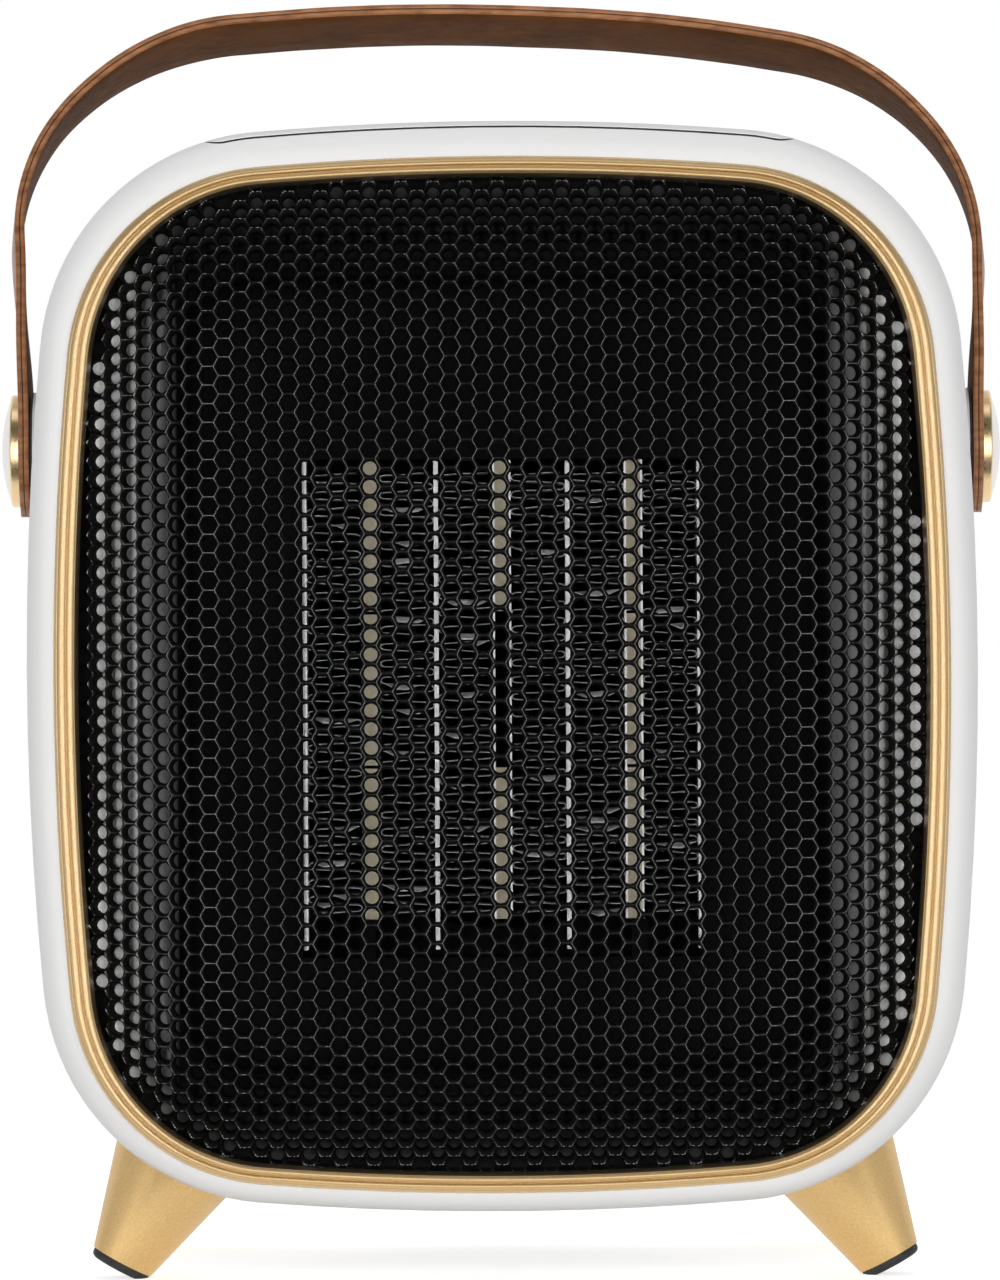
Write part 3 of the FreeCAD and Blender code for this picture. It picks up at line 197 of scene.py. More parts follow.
class Graph:
    """Nodes of a material or of the world."""

    def __init__(self, tree):
        self.tree = tree

    def add(self, kind):
        return self.tree.nodes.new("ShaderNode" + kind)

    def join(self, output, socket):
        self.tree.links.new(output, socket)

    def combine(self, operation, first, second=None):
        """One or two values through a mathematical operation."""
        node = self.add("Math")
        node.operation = operation
        self.join(first, node.inputs[0])
        if isinstance(second, float):
            node.inputs[1].default_value = second
        elif second:
            self.join(second, node.inputs[1])
        return node.outputs[0]

    def span(self, value, low, high, start=0.3, end=0.7):
        """Low where the value is at its start, and high at its end."""
        node = self.add("MapRange")
        node.inputs["From Min"].default_value = start
        node.inputs["From Max"].default_value = end
        node.inputs["To Min"].default_value = low
        node.inputs["To Max"].default_value = high
        self.join(value, node.inputs["Value"])
        return node.outputs["Result"]

    def pale_light(self):
        """1 for rays that see the background: from the camera, from gloss and through glass."""
        path = self.add("LightPath").outputs
        direct = self.combine("MAXIMUM", path["Is Camera Ray"], path["Is Glossy Ray"])
        return self.combine("MAXIMUM", direct, path["Is Transmission Ray"])


class Look(Graph):
    """A node material with one Principled shader."""

    def __init__(self, name, **constants):
        self.material = bpy.data.materials.new(name)
        self.material.use_nodes = True
        super().__init__(self.material.node_tree)
        self.shader = self.tree.nodes["Principled BSDF"]
        for socket, value in constants.items():
            self.shader.inputs[socket.replace("_", " ").title().replace("Ior", "IOR")].default_value = value
        self.coords = self.add("TexCoord").outputs["Object"]

    def stretched(self, scale):
        node = self.add("Mapping")
        node.inputs["Scale"].default_value = scale
        self.join(self.coords, node.inputs["Vector"])
        return node.outputs["Vector"]

    def noise(self, scale, detail=3.0, stretch=(1, 1, 1)):
        node = self.add("TexNoise")
        node.inputs["Scale"].default_value = scale
        node.inputs["Detail"].default_value = detail
        self.join(self.stretched(stretch), node.inputs["Vector"])
        return node.outputs["Fac"]

    def cells(self, scale, feature="F1"):
        node = self.add("TexVoronoi")
        node.feature = feature
        node.inputs["Scale"].default_value = scale
        self.join(self.coords, node.inputs["Vector"])
        return node.outputs["Distance"]

    def away(self, axis, middle=0.0):
        """Distance along an axis from a middle plane."""
        split = self.add("SeparateXYZ")
        self.join(self.coords, split.inputs[0])
        return self.combine("ABSOLUTE", self.combine("SUBTRACT", split.outputs[axis], middle * MM))

    def ramp(self, value, *stops):
        """Colour ramp from (place, colour) stops."""
        node = self.add("ValToRGB")
        elements = node.color_ramp.elements
        while len(elements) < len(stops):
            elements.new(0.5)
        for element, (place, colour) in zip(elements, stops):
            element.position = place
            element.color = (*colour, 1.0)
        self.join(value, node.inputs["Fac"])
        return node.outputs["Color"]

    def colour(self, output):
        self.join(output, self.shader.inputs["Base Color"])

    def roughness(self, output):
        self.join(output, self.shader.inputs["Roughness"])

    def bump(self, height, strength, distance):
        node = self.add("Bump")
        node.inputs["Strength"].default_value = strength
        node.inputs["Distance"].default_value = distance * MM
        self.join(height, node.inputs["Height"])
        earlier = self.shader.inputs["Normal"].links
        if earlier:
            self.join(earlier[0].from_socket, node.inputs["Normal"])
        self.join(node.outputs["Normal"], self.shader.inputs["Normal"])


def white_plastic():
    look = Look("white_plastic")
    look.colour(look.ramp(look.noise(9.0), (0.3, (0.825, 0.825, 0.82)), (0.7, (0.86, 0.86, 0.855))))
    look.roughness(look.span(look.noise(700.0), 0.36, 0.46))
    look.bump(look.noise(900.0, 2.0), 0.05, 0.03)
    return look.material


def gold():
    """Satin plating under a clear coat."""
    look = Look("gold", metallic=1.0, coat_weight=1.0, coat_roughness=0.17)
    look.colour(look.ramp(look.noise(2600.0, 2.0), (0.3, (0.59, 0.405, 0.185)), (0.7, (0.67, 0.465, 0.225))))
    look.roughness(look.span(look.noise(1800.0), 0.46, 0.54))
    look.bump(look.noise(5200.0, 2.0), 0.16, 0.02)
    return look.material


def leg_gold():
    look = Look("leg_gold", metallic=1.0)
    look.colour(look.ramp(look.noise(2600.0, 2.0), (0.3, (0.60, 0.405, 0.175)), (0.7, (0.70, 0.48, 0.22))))
    look.roughness(look.span(look.noise(1800.0), 0.34, 0.42))
    look.bump(look.noise(5200.0, 2.0), 0.16, 0.02)
    return look.material


def gold_cap():
    """Satin gold band with a silvery dome, which begins at a distance from the heater's middle."""
    look = Look("gold_cap", metallic=1.0)
    dome = look.span(look.away("X"), 0.0, 1.0, (DOME_START - DOME_SOFT) * MM, (DOME_START + DOME_SOFT) * MM)
    look.colour(look.ramp(dome, (0.3, (0.80, 0.60, 0.34)), (0.7, (0.80, 0.77, 0.74))))
    look.roughness(look.span(look.noise(1200.0), 0.26, 0.36))
    look.bump(look.noise(4200.0, 2.0), 0.10, 0.02)
    return look.material


def black_plastic():
    look = Look("black_plastic")
    look.colour(look.ramp(look.noise(260.0), (0.3, (0.012, 0.012, 0.013)), (0.7, (0.022, 0.022, 0.024))))
    look.roughness(look.span(look.noise(500.0), 0.40, 0.54))
    look.bump(look.noise(2400.0, 3.0), 0.12, 0.05)
    return look.material


def funnel_painted_light():
    """Dull surface whose colour is painted light and shade: near-white painted light on the flanks, and black
    painted shade above, below and towards the heater.
    """
    look = Look("funnel_painted_light", specular_ior_level=0.2)
    # Painted light and shade: near-white on the flanks, brighter beyond the step, fading to black painted
    # shade above, below and towards the middle
    reach = look.away("X")
    flank_light = look.span(reach, 0.0, FLANK_SHADE, FLANK_INNER * MM, (FLANK_INNER + FLANK_SOFT) * MM)
    edge = look.span(reach, 0.0, 1 - FLANK_SHADE, (FLANK_STEP - STEP_SOFT) * MM,
                     (FLANK_STEP + STEP_SOFT) * MM)
    fall = look.span(look.away("Z", TRIM_Z), 1.0, 0.0, FLANK_FULL * MM, FLANK_GONE * MM)
    mottle = look.span(look.noise(1500.0, 4.0), 0.80, 1.0)
    painted_light = look.combine("MULTIPLY", look.combine("ADD", flank_light, edge), fall)
    look.colour(look.ramp(look.combine("MULTIPLY", painted_light, mottle), (0.0, (0.010, 0.010, 0.010)),
                          (1.0, (0.97, 0.97, 0.96))))
    look.roughness(look.span(look.noise(900.0, 3.0), 0.55, 0.75))
    look.bump(look.noise(2400.0, 4.0), 0.35, 0.06)
    return look.material


def bulkhead_shade_black():
    """Matt heat-proof black of the plate round the heater, and the same black on the fan, shroud and bracket
    behind it; darker than plain black plastic, as painted shade behind the heater.
    """
    look = Look("bulkhead_shade_black", specular_ior_level=0.12)
    look.colour(look.ramp(look.noise(500.0), (0.3, (0.003, 0.003, 0.003)), (0.7, (0.006, 0.006, 0.006))))
    look.roughness(look.span(look.noise(500.0), 0.70, 0.85))
    look.bump(look.noise(2000.0, 4.0), 0.2, 0.05)
    return look.material


def grille_black():
    look = Look("grille_black", specular_ior_level=0.8)
    look.colour(look.ramp(look.noise(120.0), (0.3, (0.0015, 0.0015, 0.0015)), (0.7, (0.003, 0.003, 0.003))))
    look.roughness(look.span(look.noise(300.0), 0.08, 0.12))
    look.bump(look.noise(3000.0, 2.0), 0.06, 0.02)
    return look.material


def leather(name, dark, light, grain, rough, shine):
    look = Look(name, specular_ior_level=shine)
    look.colour(look.ramp(look.noise(90.0, 5.0), (0.3, dark), (0.7, light)))
    look.roughness(look.span(look.noise(420.0), rough - 0.06, rough + 0.08))
    look.bump(look.cells(grain), 0.22, 0.10)
    look.bump(look.noise(2600.0, 4.0), 0.15, 0.04)
    return look.material


def leather_edge():
    """Cut edge: fibres that run along the strap, burnished unevenly."""
    look = Look("leather_edge", specular_ior_level=0.4)
    look.colour(look.ramp(look.noise(260.0, 5.0, (1, 1, 3)), (0.28, (0.20, 0.075, 0.026)),
                          (0.5, (0.36, 0.145, 0.055)), (0.72, (0.47, 0.21, 0.085))))
    look.roughness(look.span(look.noise(300.0), 0.36, 0.52))
    look.bump(look.noise(1500.0, 5.0), 0.35, 0.08)
    return look.material


def glue_line():
    look = Look("glue_line")
    look.colour(look.ramp(look.noise(350.0), (0.3, (0.018, 0.009, 0.006)), (0.7, (0.050, 0.022, 0.012))))
    look.roughness(look.span(look.noise(300.0), 0.55, 0.75))
    return look.material


def felt():
    look = Look("felt", sheen_weight=0.3)
    look.colour(look.ramp(look.noise(1500.0, 5.0), (0.3, (0.020, 0.018, 0.018)),
                          (0.7, (0.055, 0.050, 0.048))))
    look.roughness(look.span(look.noise(900.0), 0.85, 0.97))
    look.bump(look.noise(2600.0, 6.0), 0.5, 0.10)
    return look.material


def rubber():
    look = Look("rubber")
    look.colour(look.ramp(look.noise(700.0), (0.3, (0.012, 0.012, 0.012)), (0.7, (0.026, 0.026, 0.026))))
    look.roughness(look.span(look.noise(500.0), 0.62, 0.80))
    look.bump(look.noise(1800.0, 4.0), 0.25, 0.05)
    return look.material


def aluminium():
    look = Look("aluminium", metallic=1.0)
    look.colour(look.ramp(look.noise(400.0), (0.3, (0.84, 0.84, 0.85)), (0.7, (0.93, 0.93, 0.94))))
    look.roughness(look.span(look.noise(900.0, 3.0, (1, 6, 1)), 0.44, 0.58))
    look.bump(look.noise(1400.0, 3.0, (1, 8, 1)), 0.10, 0.03)
    return look.material


def ceramic():
    look = Look("ceramic")
    look.colour(look.ramp(look.noise(900.0, 6.0), (0.3, (0.80, 0.70, 0.50)), (0.55, (0.90, 0.80, 0.60)),
                          (0.75, (0.94, 0.87, 0.69))))
    look.roughness(look.span(look.noise(600.0), 0.72, 0.9))
    look.bump(look.noise(2200.0, 5.0), 0.3, 0.05)
    return look.material


def steel():
    look = Look("steel", metallic=1.0)
    look.colour(look.ramp(look.cells(260.0), (0.2, (0.46, 0.47, 0.49)), (0.8, (0.60, 0.61, 0.63))))
    look.roughness(look.span(look.noise(700.0), 0.28, 0.44))
    look.bump(look.noise(1600.0), 0.08, 0.03)
    return look.material


def circuit_board():
    look = Look("circuit_board", coat_weight=0.4, coat_roughness=0.15)
    look.colour(look.ramp(look.cells(170.0, "DISTANCE_TO_EDGE"), (0.04, (0.05, 0.24, 0.10)),
                          (0.08, (0.018, 0.11, 0.045)), (0.6, (0.014, 0.085, 0.035))))
    look.roughness(look.span(look.noise(500.0), 0.34, 0.48))
    return look.material


def milky_lens():
    look = Look("milky_lens", transmission_weight=0.25, ior=1.49)
    look.colour(look.ramp(look.noise(300.0), (0.3, (0.88, 0.86, 0.80)), (0.7, (0.94, 0.93, 0.88))))
    look.roughness(look.span(look.noise(300.0), 0.16, 0.26))
    return look.material


def woven_sleeve():
    look = Look("woven_sleeve")
    look.colour(look.ramp(look.cells(1500.0), (0.1, (0.66, 0.64, 0.58)), (0.6, (0.83, 0.81, 0.75))))
    look.roughness(look.span(look.noise(800.0), 0.75, 0.9))
    look.bump(look.cells(1500.0), 0.5, 0.15)
    return look.material


LEATHER_OUTER = leather("leather_outer", (0.24, 0.10, 0.055), (0.36, 0.165, 0.095), 1300.0, 0.42, 0.4)
LEATHER_INNER = leather("leather_inner", (0.100, 0.033, 0.004), (0.165, 0.058, 0.010), 2600.0, 0.6, 0.05)
FINISHES = {
    "white_plastic": white_plastic(),
    "gold": gold(),
    "black_plastic": black_plastic(),
    "leather": LEATHER_OUTER,
    "felt": felt(),
    "rubber": rubber(),
    "aluminium": aluminium(),
    "ceramic": ceramic(),
    "steel": steel(),
    "board": circuit_board(),
    "lens": milky_lens(),
    "sleeve": woven_sleeve(),
}


def dress(node, material):
    mesh = NODES[node].data
    mesh.materials.clear()
    mesh.materials.append(material)


for part in frame["record"]["subparts"]:
    dress(part["node"], FINISHES[part["material_slot"]])
CAP_GOLD = gold_cap()
for side in ("left", "right"):
    dress("strap_cap_" + side, CAP_GOLD)
LEG_GOLD = leg_gold()
for place in ("front_left", "front_right", "rear_left", "rear_right"):
    dress("leg_" + place, LEG_GOLD)
# The funnel's colour is painted light and shade
dress("outlet_funnel", funnel_painted_light())
GRILLE_BLACK = grille_black()
MATT_BLACK = bulkhead_shade_black()
# Painted shade: the fan, shroud and motor bracket take the near-perfect black, so that nothing shows behind
# the heater
for node in ("heater_frame", "fan_shroud", "fan_impeller", "motor_bracket"):
    dress(node, MATT_BLACK)


def make_mesh(name, points, faces, materials, indices=None):
    """Smooth mesh object from points in millimetres."""
    mesh = bpy.data.meshes.new(name)
    mesh.from_pydata([Vector(p) * MM for p in points], [], faces)
    for material in materials:
        mesh.materials.append(material)
    mesh.polygons.foreach_set("use_smooth", [True] * len(faces))
    if indices:
        mesh.polygons.foreach_set("material_index", indices)
    mesh.update()
    piece = bpy.data.objects.new(name, mesh)
    bpy.context.scene.collection.objects.link(piece)
    return piece


SIDE_CENTRE = Vector((TRIM_WIDTH / 2 - SIDE_BOW_R, 0))
TOP_CENTRE = Vector((0, TRIM_HEIGHT / 2 - TOP_BOW_R))


def corner_of_outline():
    """Centre of the corner arc, and the angles at which it meets the side and the top."""
    side_reach = SIDE_BOW_R - CORNER_R
    top_reach = TOP_BOW_R - CORNER_R
    apart = (TOP_CENTRE - SIDE_CENTRE).length
    along = (side_reach ** 2 - top_reach ** 2 + apart ** 2) / (2 * apart)
    across = math.sqrt(side_reach ** 2 - along ** 2)
    unit = (TOP_CENTRE - SIDE_CENTRE).normalized()
    centre = SIDE_CENTRE + unit * along + Vector((-unit.y, unit.x)) * across
    to_side = centre - SIDE_CENTRE
    to_top = centre - TOP_CENTRE
    return centre, math.atan2(to_side.y, to_side.x), math.atan2(to_top.y, to_top.x)


CORNER, SIDE_ANGLE, TOP_ANGLE = corner_of_outline()


def outline_point(angle):
    """Point of the outline that faces the angle, and that outward direction."""
    facing = Vector((math.cos(angle), math.sin(angle)))
    folded = Vector((abs(facing.x), abs(facing.y)))
    turn = math.atan2(folded.y, folded.x)
    if turn < SIDE_ANGLE:
        point = SIDE_CENTRE + folded * SIDE_BOW_R
    elif turn < TOP_ANGLE:
        point = CORNER + folded * CORNER_R
    else:
        point = TOP_CENTRE + folded * TOP_BOW_R
    return Vector((math.copysign(point.x, facing.x), math.copysign(point.y, facing.y))), facing


def outline_angles():
    """Angles round the outline, closer together at the corners."""
    stops = [-SIDE_ANGLE, SIDE_ANGLE, TOP_ANGLE, math.pi - TOP_ANGLE, math.pi - SIDE_ANGLE,
             math.pi + SIDE_ANGLE, math.pi + TOP_ANGLE, 2 * math.pi - TOP_ANGLE, 2 * math.pi - SIDE_ANGLE]
    angles = []
    for k, (start, end) in enumerate(zip(stops, stops[1:])):
        steps = CORNER_STEPS if k % 2 else SIDE_STEPS
        angles.extend(start + (end - start) * i / steps for i in range(steps))
    return angles


RING = [outline_point(angle) for angle in outline_angles()]


def nearest_rim(x, z):
    """How far a point is outside the outline, negative inside it, and the way outward."""
    point = Vector((abs(x), abs(z)))
    spoke = point - CORNER
    turn = math.atan2(spoke.y, spoke.x)
    if SIDE_ANGLE < turn < TOP_ANGLE:
        grow = spoke.length - CORNER_R
    else:
        reaches = [((point - SIDE_CENTRE).length - SIDE_BOW_R, point - SIDE_CENTRE),
                   ((point - TOP_CENTRE).length - TOP_BOW_R, point - TOP_CENTRE)]
        grow, spoke = max(reaches, key=lambda reach: reach[0])
    out = spoke.normalized()
    return grow, Vector((math.copysign(out.x, x), math.copysign(out.y, z)))


def swept_ring(name, section, materials, squeeze=0.0):
    """Closed ring that carries a section of (growth, y) points round the outline.

    Squeeze is the share by which the section is narrower at the top and bottom.
    """
    points = []
    for base, facing in RING:
        width = 1 - squeeze * facing.y ** 2
        for grow, y in section:
            at = base + facing * (grow * width)
            points.append((at.x, y, TRIM_Z + at.y))
    size = len(section)
    faces = []
    for i in range(len(RING)):
        ahead = (i + 1) % len(RING)
        for j in range(size):
            nxt = (j + 1) % size
            faces.append((i * size + j, i * size + nxt, ahead * size + nxt, ahead * size + j))
    return make_mesh(name, points, faces, materials)


def bead(centre, crest):
    """Arc over a bead, from its outer foot to its inner one."""
    limit = math.radians(BEAD_TURN)
    radius = BEAD_WIDTH / 2 / math.sin(limit)
    turns = [limit - 2 * limit * k / BEAD_SPANS for k in range(BEAD_SPANS + 1)]
    return [(centre + radius * math.sin(t), crest + radius * (1 - math.cos(t))) for t in turns]


def trim_piece():
    """A lip that rises from the casing, two beads, the inner one prouder, and the wall round the grille."""
    inner = -LIP_WIDTH - 2 * BEAD_WIDTH
    turns = [math.pi / 2 * k / LIP_STEPS for k in range(LIP_STEPS + 1)]
    section = [(0.0, CASE_FRONT + TRIM_SEAT)]
    section += [(LIP_WIDTH * (math.cos(t) - 1), CASE_FRONT - LIP_RISE * math.sin(t)) for t in turns]
    section += bead(-LIP_WIDTH - BEAD_WIDTH / 2, TRIM_FRONT + BEAD_STEP)
    section += bead(-LIP_WIDTH - 1.5 * BEAD_WIDTH, TRIM_FRONT)
    foot = section[-1][1]
    for t in turns[1:]:
        section.append((inner - INNER_ROUND * math.sin(t), foot + 2 * INNER_ROUND * (1 - math.cos(t))))
    section.append((inner - INNER_ROUND - WALL_SLOPE, WALL_END))
    section.append((-COLLAR, WALL_END))
    section.append((-COLLAR, CASE_FRONT + TRIM_SEAT))
    return swept_ring("trim_beads", section, [FINISHES["gold"]], TRIM_SQUEEZE)


def bowed(x, z, depth):
    """Place on the bowed grille of a point seen from the front, at a depth behind its face."""
    grow, out = nearest_rim(x, z)
    flat = Vector((x, z)) - out * max(grow + RIM_LINE, 0.0)
    lean = math.asin(max(BORDER + min(grow, -RIM_LINE), 0.0) / BOW_R)
    at = flat - out * (depth * math.sin(lean))
    return at.x, GRILLE_FRONT + BOW_R - (BOW_R - depth) * math.cos(lean), TRIM_Z + at.y


def hexagon_radii(turns):
    """Distance from a cell's middle to its hexagon, whose corners point left and right."""
    return [CELL_PITCH / 2 / math.cos(t % (math.pi / 3) - math.pi / 6) for t in turns]


def grille_cells(turns, radii):
    """Middle of each cell, and whether all of it is inside the rim."""
    column = CELL_PITCH * math.sqrt(3) / 2
    columns = int(TRIM_WIDTH / 2 / column) + 1
    rows = int(TRIM_HEIGHT / 2 / CELL_PITCH) + 1
    for i in range(-columns, columns + 1):
        for j in range(-rows, rows + 1):
            x = (i + 0.5) * column + CELL_X
            z = (j + 0.5 * (i % 2)) * CELL_PITCH + CELL_Z
            grows = [nearest_rim(x + r * math.cos(t), z + r * math.sin(t))[0] for r, t in zip(radii, turns)]
            if min(grows) < -RIM_LINE:
                yield x, z, max(grows) < -OPEN_LINE


def honeycomb():
    """Ridged hexagons that fall in to round holes, and blind ones along the rim."""
    turns = [2 * math.pi * k / CELL_POINTS for k in range(CELL_POINTS)]
    hexagon = hexagon_radii(turns)
    top = [([r - inset for r in hexagon], fall) for inset, fall in CREST]
    top.append(([r + (WEB_R - r) * WEB_SHARE for r in top[-1][0]], WEB_DEPTH))
    hole = [([HOLE_R] * CELL_POINTS, HOLE_DEPTH), ([HOLE_END] * CELL_POINTS, GRILLE_THICK)]
    open_levels = top + hole + [(hexagon, GRILLE_THICK)]
    blind_levels = top + [([r - BLIND_INSET for r in hexagon], BLIND_DEPTH)]
    points = []
    faces = []
    indices = []
    shared = {}

    def corner(x, z, depth):
        at = bowed(x, z, depth)
        key = tuple(round(value, WELD_DIGITS) for value in at)
        if key not in shared:
            shared[key] = len(points)
            points.append(at)
        return shared[key]

    def add_face(corners, dull):
        ordered = list(dict.fromkeys(corners))
        spokes = [Vector(points[k]) - Vector(points[ordered[0]]) for k in ordered[1:]]
        spread = sum((a.cross(b) for a, b in zip(spokes, spokes[1:])), Vector((0, 0, 0)))
        if spread.length > SLIVER:
            faces.append(ordered)
            indices.append(int(dull))

    for cx, cz, whole in grille_cells(turns, hexagon):
        loops = []
        for radii, depth in open_levels if whole else blind_levels:
            loops.append([corner(cx + r * math.cos(t), cz + r * math.sin(t), depth)
                          for r, t in zip(radii, turns)])
        for level, (upper, lower) in enumerate(zip(loops, loops[1:])):
            for k in range(CELL_POINTS):
                nxt = (k + 1) % CELL_POINTS
                add_face((upper[k], upper[nxt], lower[nxt], lower[k]), level >= len(top) - 1)
        if not whole:
            add_face(loops[-1], True)
    used = sorted({k for face in faces for k in face})
    order = {k: n for n, k in enumerate(used)}
    kept = [[order[k] for k in face] for face in faces]
    return make_mesh("grille_honeycomb", [points[k] for k in used], kept, [GRILLE_BLACK, MATT_BLACK], indices)


def grille_rim():
    section = [(-RIM_OUTER, RIM_FRONT), (-RIM_INNER, RIM_FRONT), (-RIM_INNER, RIM_BACK),
               (-RIM_OUTER, RIM_BACK)]
    return swept_ring("grille_rim", section, [GRILLE_BLACK])


def fin_path(left, right, bottom, top, shake):
    """Points of a folded ribbon from bottom to top, each with how far its front edge is bent down."""
    radius = FIN_STEP / 2
    count = int((top - bottom) / FIN_STEP)
    path = []
    for k in range(count):
        ends = (left + radius, right - radius)
        level = bottom + (k + 0.5) * FIN_STEP
        tilt = FIN_TILT + shake.uniform(-FIN_SHAKE, FIN_SHAKE)
        bent = shake.randint(1, FIN_SPANS - 1) if shake.random() < FOLD_SHARE else 0
        start, end = ends if k % 2 == 0 else reversed(ends)
        for n in range(FIN_SPANS + 1):
            share = n / FIN_SPANS
            inside = 0 < n < FIN_SPANS
            rise = tilt * (2 * share - 1) + (shake.uniform(-FIN_SHAKE, FIN_SHAKE) if inside else 0.0)
            drop = FOLD_DROP * shake.uniform(FOLD_LEAST, 1.0) if inside and bent and n >= bent else 0.0
            path.append((start + (end - start) * share, level + rise, drop))
        if k == count - 1:
            break
        low = level + tilt
        high = level + FIN_STEP - FIN_TILT
        way = 1 if k % 2 == 0 else -1
        for n in range(1, FIN_BENDS):
            turn = math.pi * n / FIN_BENDS
            height = (low + high) / 2 - (high - low) / 2 * math.cos(turn)
            path.append((end + way * radius * math.sin(turn), height, 0.0))
    return path


def fin_ribbon(name, shake):
    """Thin folded ribbon within the box of a bank of fins."""
    low, high = (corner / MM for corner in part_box(name))
    half = FIN_THICK / 2
    path = fin_path(low.x + half, high.x - half, low.z, high.z, shake)
    points = []
    for n, (x, z, drop) in enumerate(path):
        before = Vector(path[max(n - 1, 0)][:2])
        after = Vector(path[min(n + 1, len(path) - 1)][:2])
        way = (after - before).normalized()
        aside = Vector((-way.y, way.x)) * half
        front = low.y + FOLD_PULL * drop
        fold = low.y + FOLD_DEPTH
        rows = ((1, fold, 0.0), (1, front, drop), (-1, front, drop), (-1, fold, 0.0), (-1, high.y, 0.0),
                (1, high.y, 0.0))
        for side, y, fall in rows:
            points.append((x + side * aside.x, y, z + side * aside.y - fall))
    size = len(rows)
    faces = [tuple(range(size))]
    for n in range(len(path) - 1):
        for j in range(size):
            nxt = (j + 1) % size
            faces.append((size * n + j, size * (n + 1) + j, size * (n + 1) + nxt, size * n + nxt))
    faces.append(tuple(size * len(path) - 1 - j for j in range(size)))
    return make_mesh(name.replace("bank", "ribbon"), points, faces, [FINISHES["aluminium"]])


def strap_points():
    """Points along the strap's middle line with their directions, in the strap's own plane."""
    corners = [Vector(p) for p in STRAP_LINE]
    marks = []
    last = corners[0]

    def run(start, end):
        steps = max(1, round((end - start).length / STRAP_STEP))
        way = (end - start).normalized()
        marks.extend((start.lerp(end, k / steps), way) for k in range(steps))

    for before, at, after in zip(corners, corners[1:], corners[2:]):
        inward = (before - at).normalized()
        onward = (after - at).normalized()
        half_turn = (math.pi - inward.angle(onward)) / 2
        reach = STRAP_SHARE * min((before - at).length, (after - at).length)
        radius = reach / math.tan(half_turn)
        centre = at + (inward + onward).normalized() * (radius / math.cos(half_turn))
        first = at + inward * reach
        run(last, first)
        sweep = -2 * half_turn if (-inward).cross(onward) < 0 else 2 * half_turn
        steps = max(4, round(radius * abs(sweep) / STRAP_STEP))
        for k in range(steps):
            turn = Matrix.Rotation(sweep * k / steps, 2)
            marks.append((centre + turn @ (first - centre), turn @ (-inward)))
        last = at + onward * reach
    run(last, corners[-1])
    marks.append((corners[-1], (corners[-1] - corners[-2]).normalized()))
    return marks


def strap_section(half):
    """Section of the two bonded layers, as (across, through) points, with the material of each next span."""
    thick = STRAP_THICK / 2
    upper = [(half - inset, height) for inset, height in LAYER_EDGE]
    lower = [(across, -through) for across, through in reversed(upper)]
    edge = upper + [(half - GLUE_DEPTH, 0.0)] + lower
    under = [(half / 2, -thick), (0.0, -thick), (-half / 2, -thick)]
    far_edge = [(-across, through) for across, through in reversed(edge)]
    over = [(-across, -through) for across, through in under]
    cut = [EDGE] * (len(upper) - 1)
    kinds = cut + [GLUE] * 2 + cut
    face = len(under) + 1
    return edge + under + far_edge + over, kinds + [INNER] * face + kinds + [OUTER] * face


def eased(value):
    """Smooth step from 0 to 1."""
    share = min(max(value, 0.0), 1.0)
    return share * share * (3 - 2 * share)


def strap_piece():
    lean = Matrix.Rotation(math.radians(-STRAP_LEAN), 3, "X")
    points = []
    faces = []
    indices = []
    marks = strap_points()
    end_r = STRAP_WIDTH / 2
    for n, (mark, way) in enumerate(marks):
        below = max(0.0, -mark.y)
        half = math.sqrt(max(end_r ** 2 - below ** 2, END_HALF ** 2)) - EDGE_TRIM
        if below == 0.0:
            half += sum(size * math.sin(n * pace + start) for size, pace, start in EDGE_WAVES)
        section, spans = strap_section(half)
        out = Vector((-way.y, way.x))
        free = eased((mark.y - TWIST_FOOT) / TWIST_RISE) * eased((abs(mark.x) - TWIST_X) / TWIST_SPAN)
        twist = Matrix.Rotation(math.radians(STRAP_TWIST) * free, 2)
        for corner in section:
            across, through = twist @ Vector(corner)
            at = mark + out * through
            points.append(lean @ Vector((at.x, across, at.y)) + Vector((0, 0, RIVET_Z)))
    count = len(marks)
    size = len(spans)
    for i in range(count - 1):
        for j in range(size):
            nxt = (j + 1) % size
            faces.append((i * size + j, (i + 1) * size + j, (i + 1) * size + nxt, i * size + nxt))
            indices.append(spans[j])
    faces.append(tuple(range(size)))
    faces.append(tuple((count - 1) * size + j for j in reversed(range(size))))
    indices += [EDGE, EDGE]
    materials = [LEATHER_OUTER, LEATHER_INNER, leather_edge(), glue_line()]
    return make_mesh("leather_strap", points, faces, materials, indices)


TRIM = trim_piece()
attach(TRIM, "casing")
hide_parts("trim_ring")
for piece in (honeycomb(), grille_rim()):
    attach(piece, "casing")
    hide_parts("front_grille")
SHAKE = random.Random(SEED)
for k in range(FIN_BANKS):
    bank = "fin_bank_%d" % (k + 1)
    ribbon = fin_ribbon(bank, SHAKE)
    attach(ribbon, "casing")
    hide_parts(bank)
STRAP = strap_piece()
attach(STRAP, "handle")
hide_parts("handle_strap")


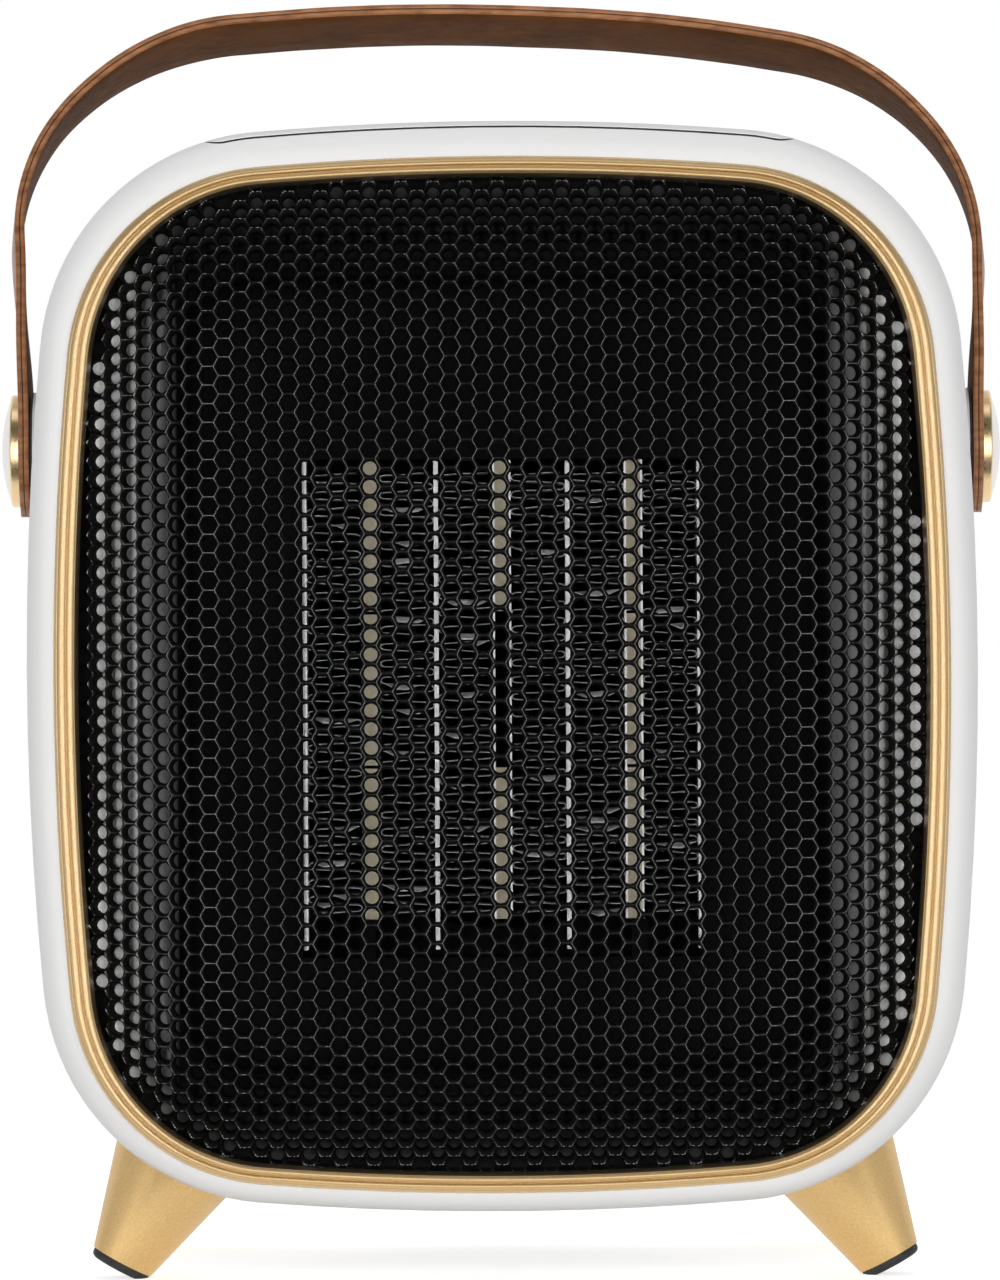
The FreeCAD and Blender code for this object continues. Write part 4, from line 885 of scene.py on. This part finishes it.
def surroundings():
    """White where the camera looks and pale walls at the sides; the room behind the camera is dim."""
    world = bpy.data.worlds.new("studio")
    world.use_nodes = True
    bpy.context.scene.world = world
    graph = Graph(world.node_tree)
    directions = graph.add("SeparateXYZ")
    graph.join(graph.add("TexCoord").outputs["Generated"], directions.inputs[0])
    ahead = graph.span(directions.outputs["Y"], ROOM_DARK, 1.0, ROOM_START, ROOM_END)
    sideways = graph.combine("ABSOLUTE", directions.outputs["X"])
    walls = graph.span(sideways, ROOM_DARK, SIDE_LEVEL, SIDE_START, SIDE_END)
    room = graph.combine("MAXIMUM", ahead, walls)
    level = graph.span(graph.pale_light(), WORLD_LEVEL, 1.0, 0.0, 1.0)
    seen = graph.add("LightPath").outputs["Is Camera Ray"]
    strength = graph.combine("MAXIMUM", graph.combine("MULTIPLY", room, level), seen)
    background = graph.tree.nodes["Background"]
    background.inputs["Color"].default_value = (1, 1, 1, 1)
    graph.join(strength, background.inputs["Strength"])


def studio_floor():
    """White floor that glows a little, so that it fades into the background."""
    floor = bpy.data.meshes.new("floor")
    corners = [(-FLOOR_REACH, FLOOR_EDGE, 0), (FLOOR_REACH, FLOOR_EDGE, 0), (FLOOR_REACH, FLOOR_REACH, 0),
               (-FLOOR_REACH, FLOOR_REACH, 0)]
    floor.from_pydata(corners, [], [(0, 1, 2, 3)])
    floor_object = bpy.data.objects.new("floor", floor)
    bpy.context.scene.collection.objects.link(floor_object)
    look = Look("floor", roughness=0.9)
    look.colour(look.ramp(look.noise(3.0), (0.3, (0.87, 0.87, 0.87)), (0.7, (0.90, 0.90, 0.90))))
    glow = look.combine("MULTIPLY", look.pale_light(), FLOOR_GLOW)
    look.join(glow, look.shader.inputs["Emission Strength"])
    look.shader.inputs["Emission Color"].default_value = (1, 1, 1, 1)
    floor.materials.append(look.material)


def softbox(name, place, width, height, power):
    """Rectangular lamp that points at the heater; its place and size are in metres."""
    data = bpy.data.lights.new(name, "AREA")
    data.shape = "RECTANGLE"
    data.size = width
    data.size_y = height
    data.energy = power
    lamp = bpy.data.objects.new(name, data)
    lamp.location = place
    lamp.rotation_euler = (Vector(LIGHT_AIM) - Vector(place)).to_track_quat("-Z", "Y").to_euler()
    bpy.context.scene.collection.objects.link(lamp)


def camera():
    data = bpy.data.cameras.new("camera")
    data.sensor_width = SENSOR
    data.lens = CAMERA_DISTANCE / PIXEL / LONG_SIDE * SENSOR
    data.clip_start = CLIP_START
    data.clip_end = CLIP_END
    eye = bpy.data.objects.new("camera", data)
    place = Vector((CAMERA_X, TRIM_FRONT - CAMERA_DISTANCE, CAMERA_Z)) * MM
    aim = Vector((CAMERA_X, TRIM_FRONT, AIM_Z)) * MM
    way = (aim - place).normalized()
    turned = way.to_track_quat("-Z", "Y").to_matrix() @ Matrix.Rotation(math.radians(CAMERA_ROLL), 3, "Z")
    eye.location = place
    eye.rotation_euler = turned.to_euler()
    bpy.context.scene.collection.objects.link(eye)
    bpy.context.scene.camera = eye


bpy.context.scene.view_settings.view_transform = "Standard"
surroundings()
studio_floor()
for way in (-1, 1):
    softbox("front_box", (way * 0.25, -0.93, 0.12), width=0.14, height=0.56, power=2.6)
    softbox("side_box", (way * 0.69, -0.78, 0.12), width=0.16, height=0.40, power=1.4)
softbox("top_box", (0.0, -0.15, 1.0), width=0.9, height=0.4, power=1.6)
camera()
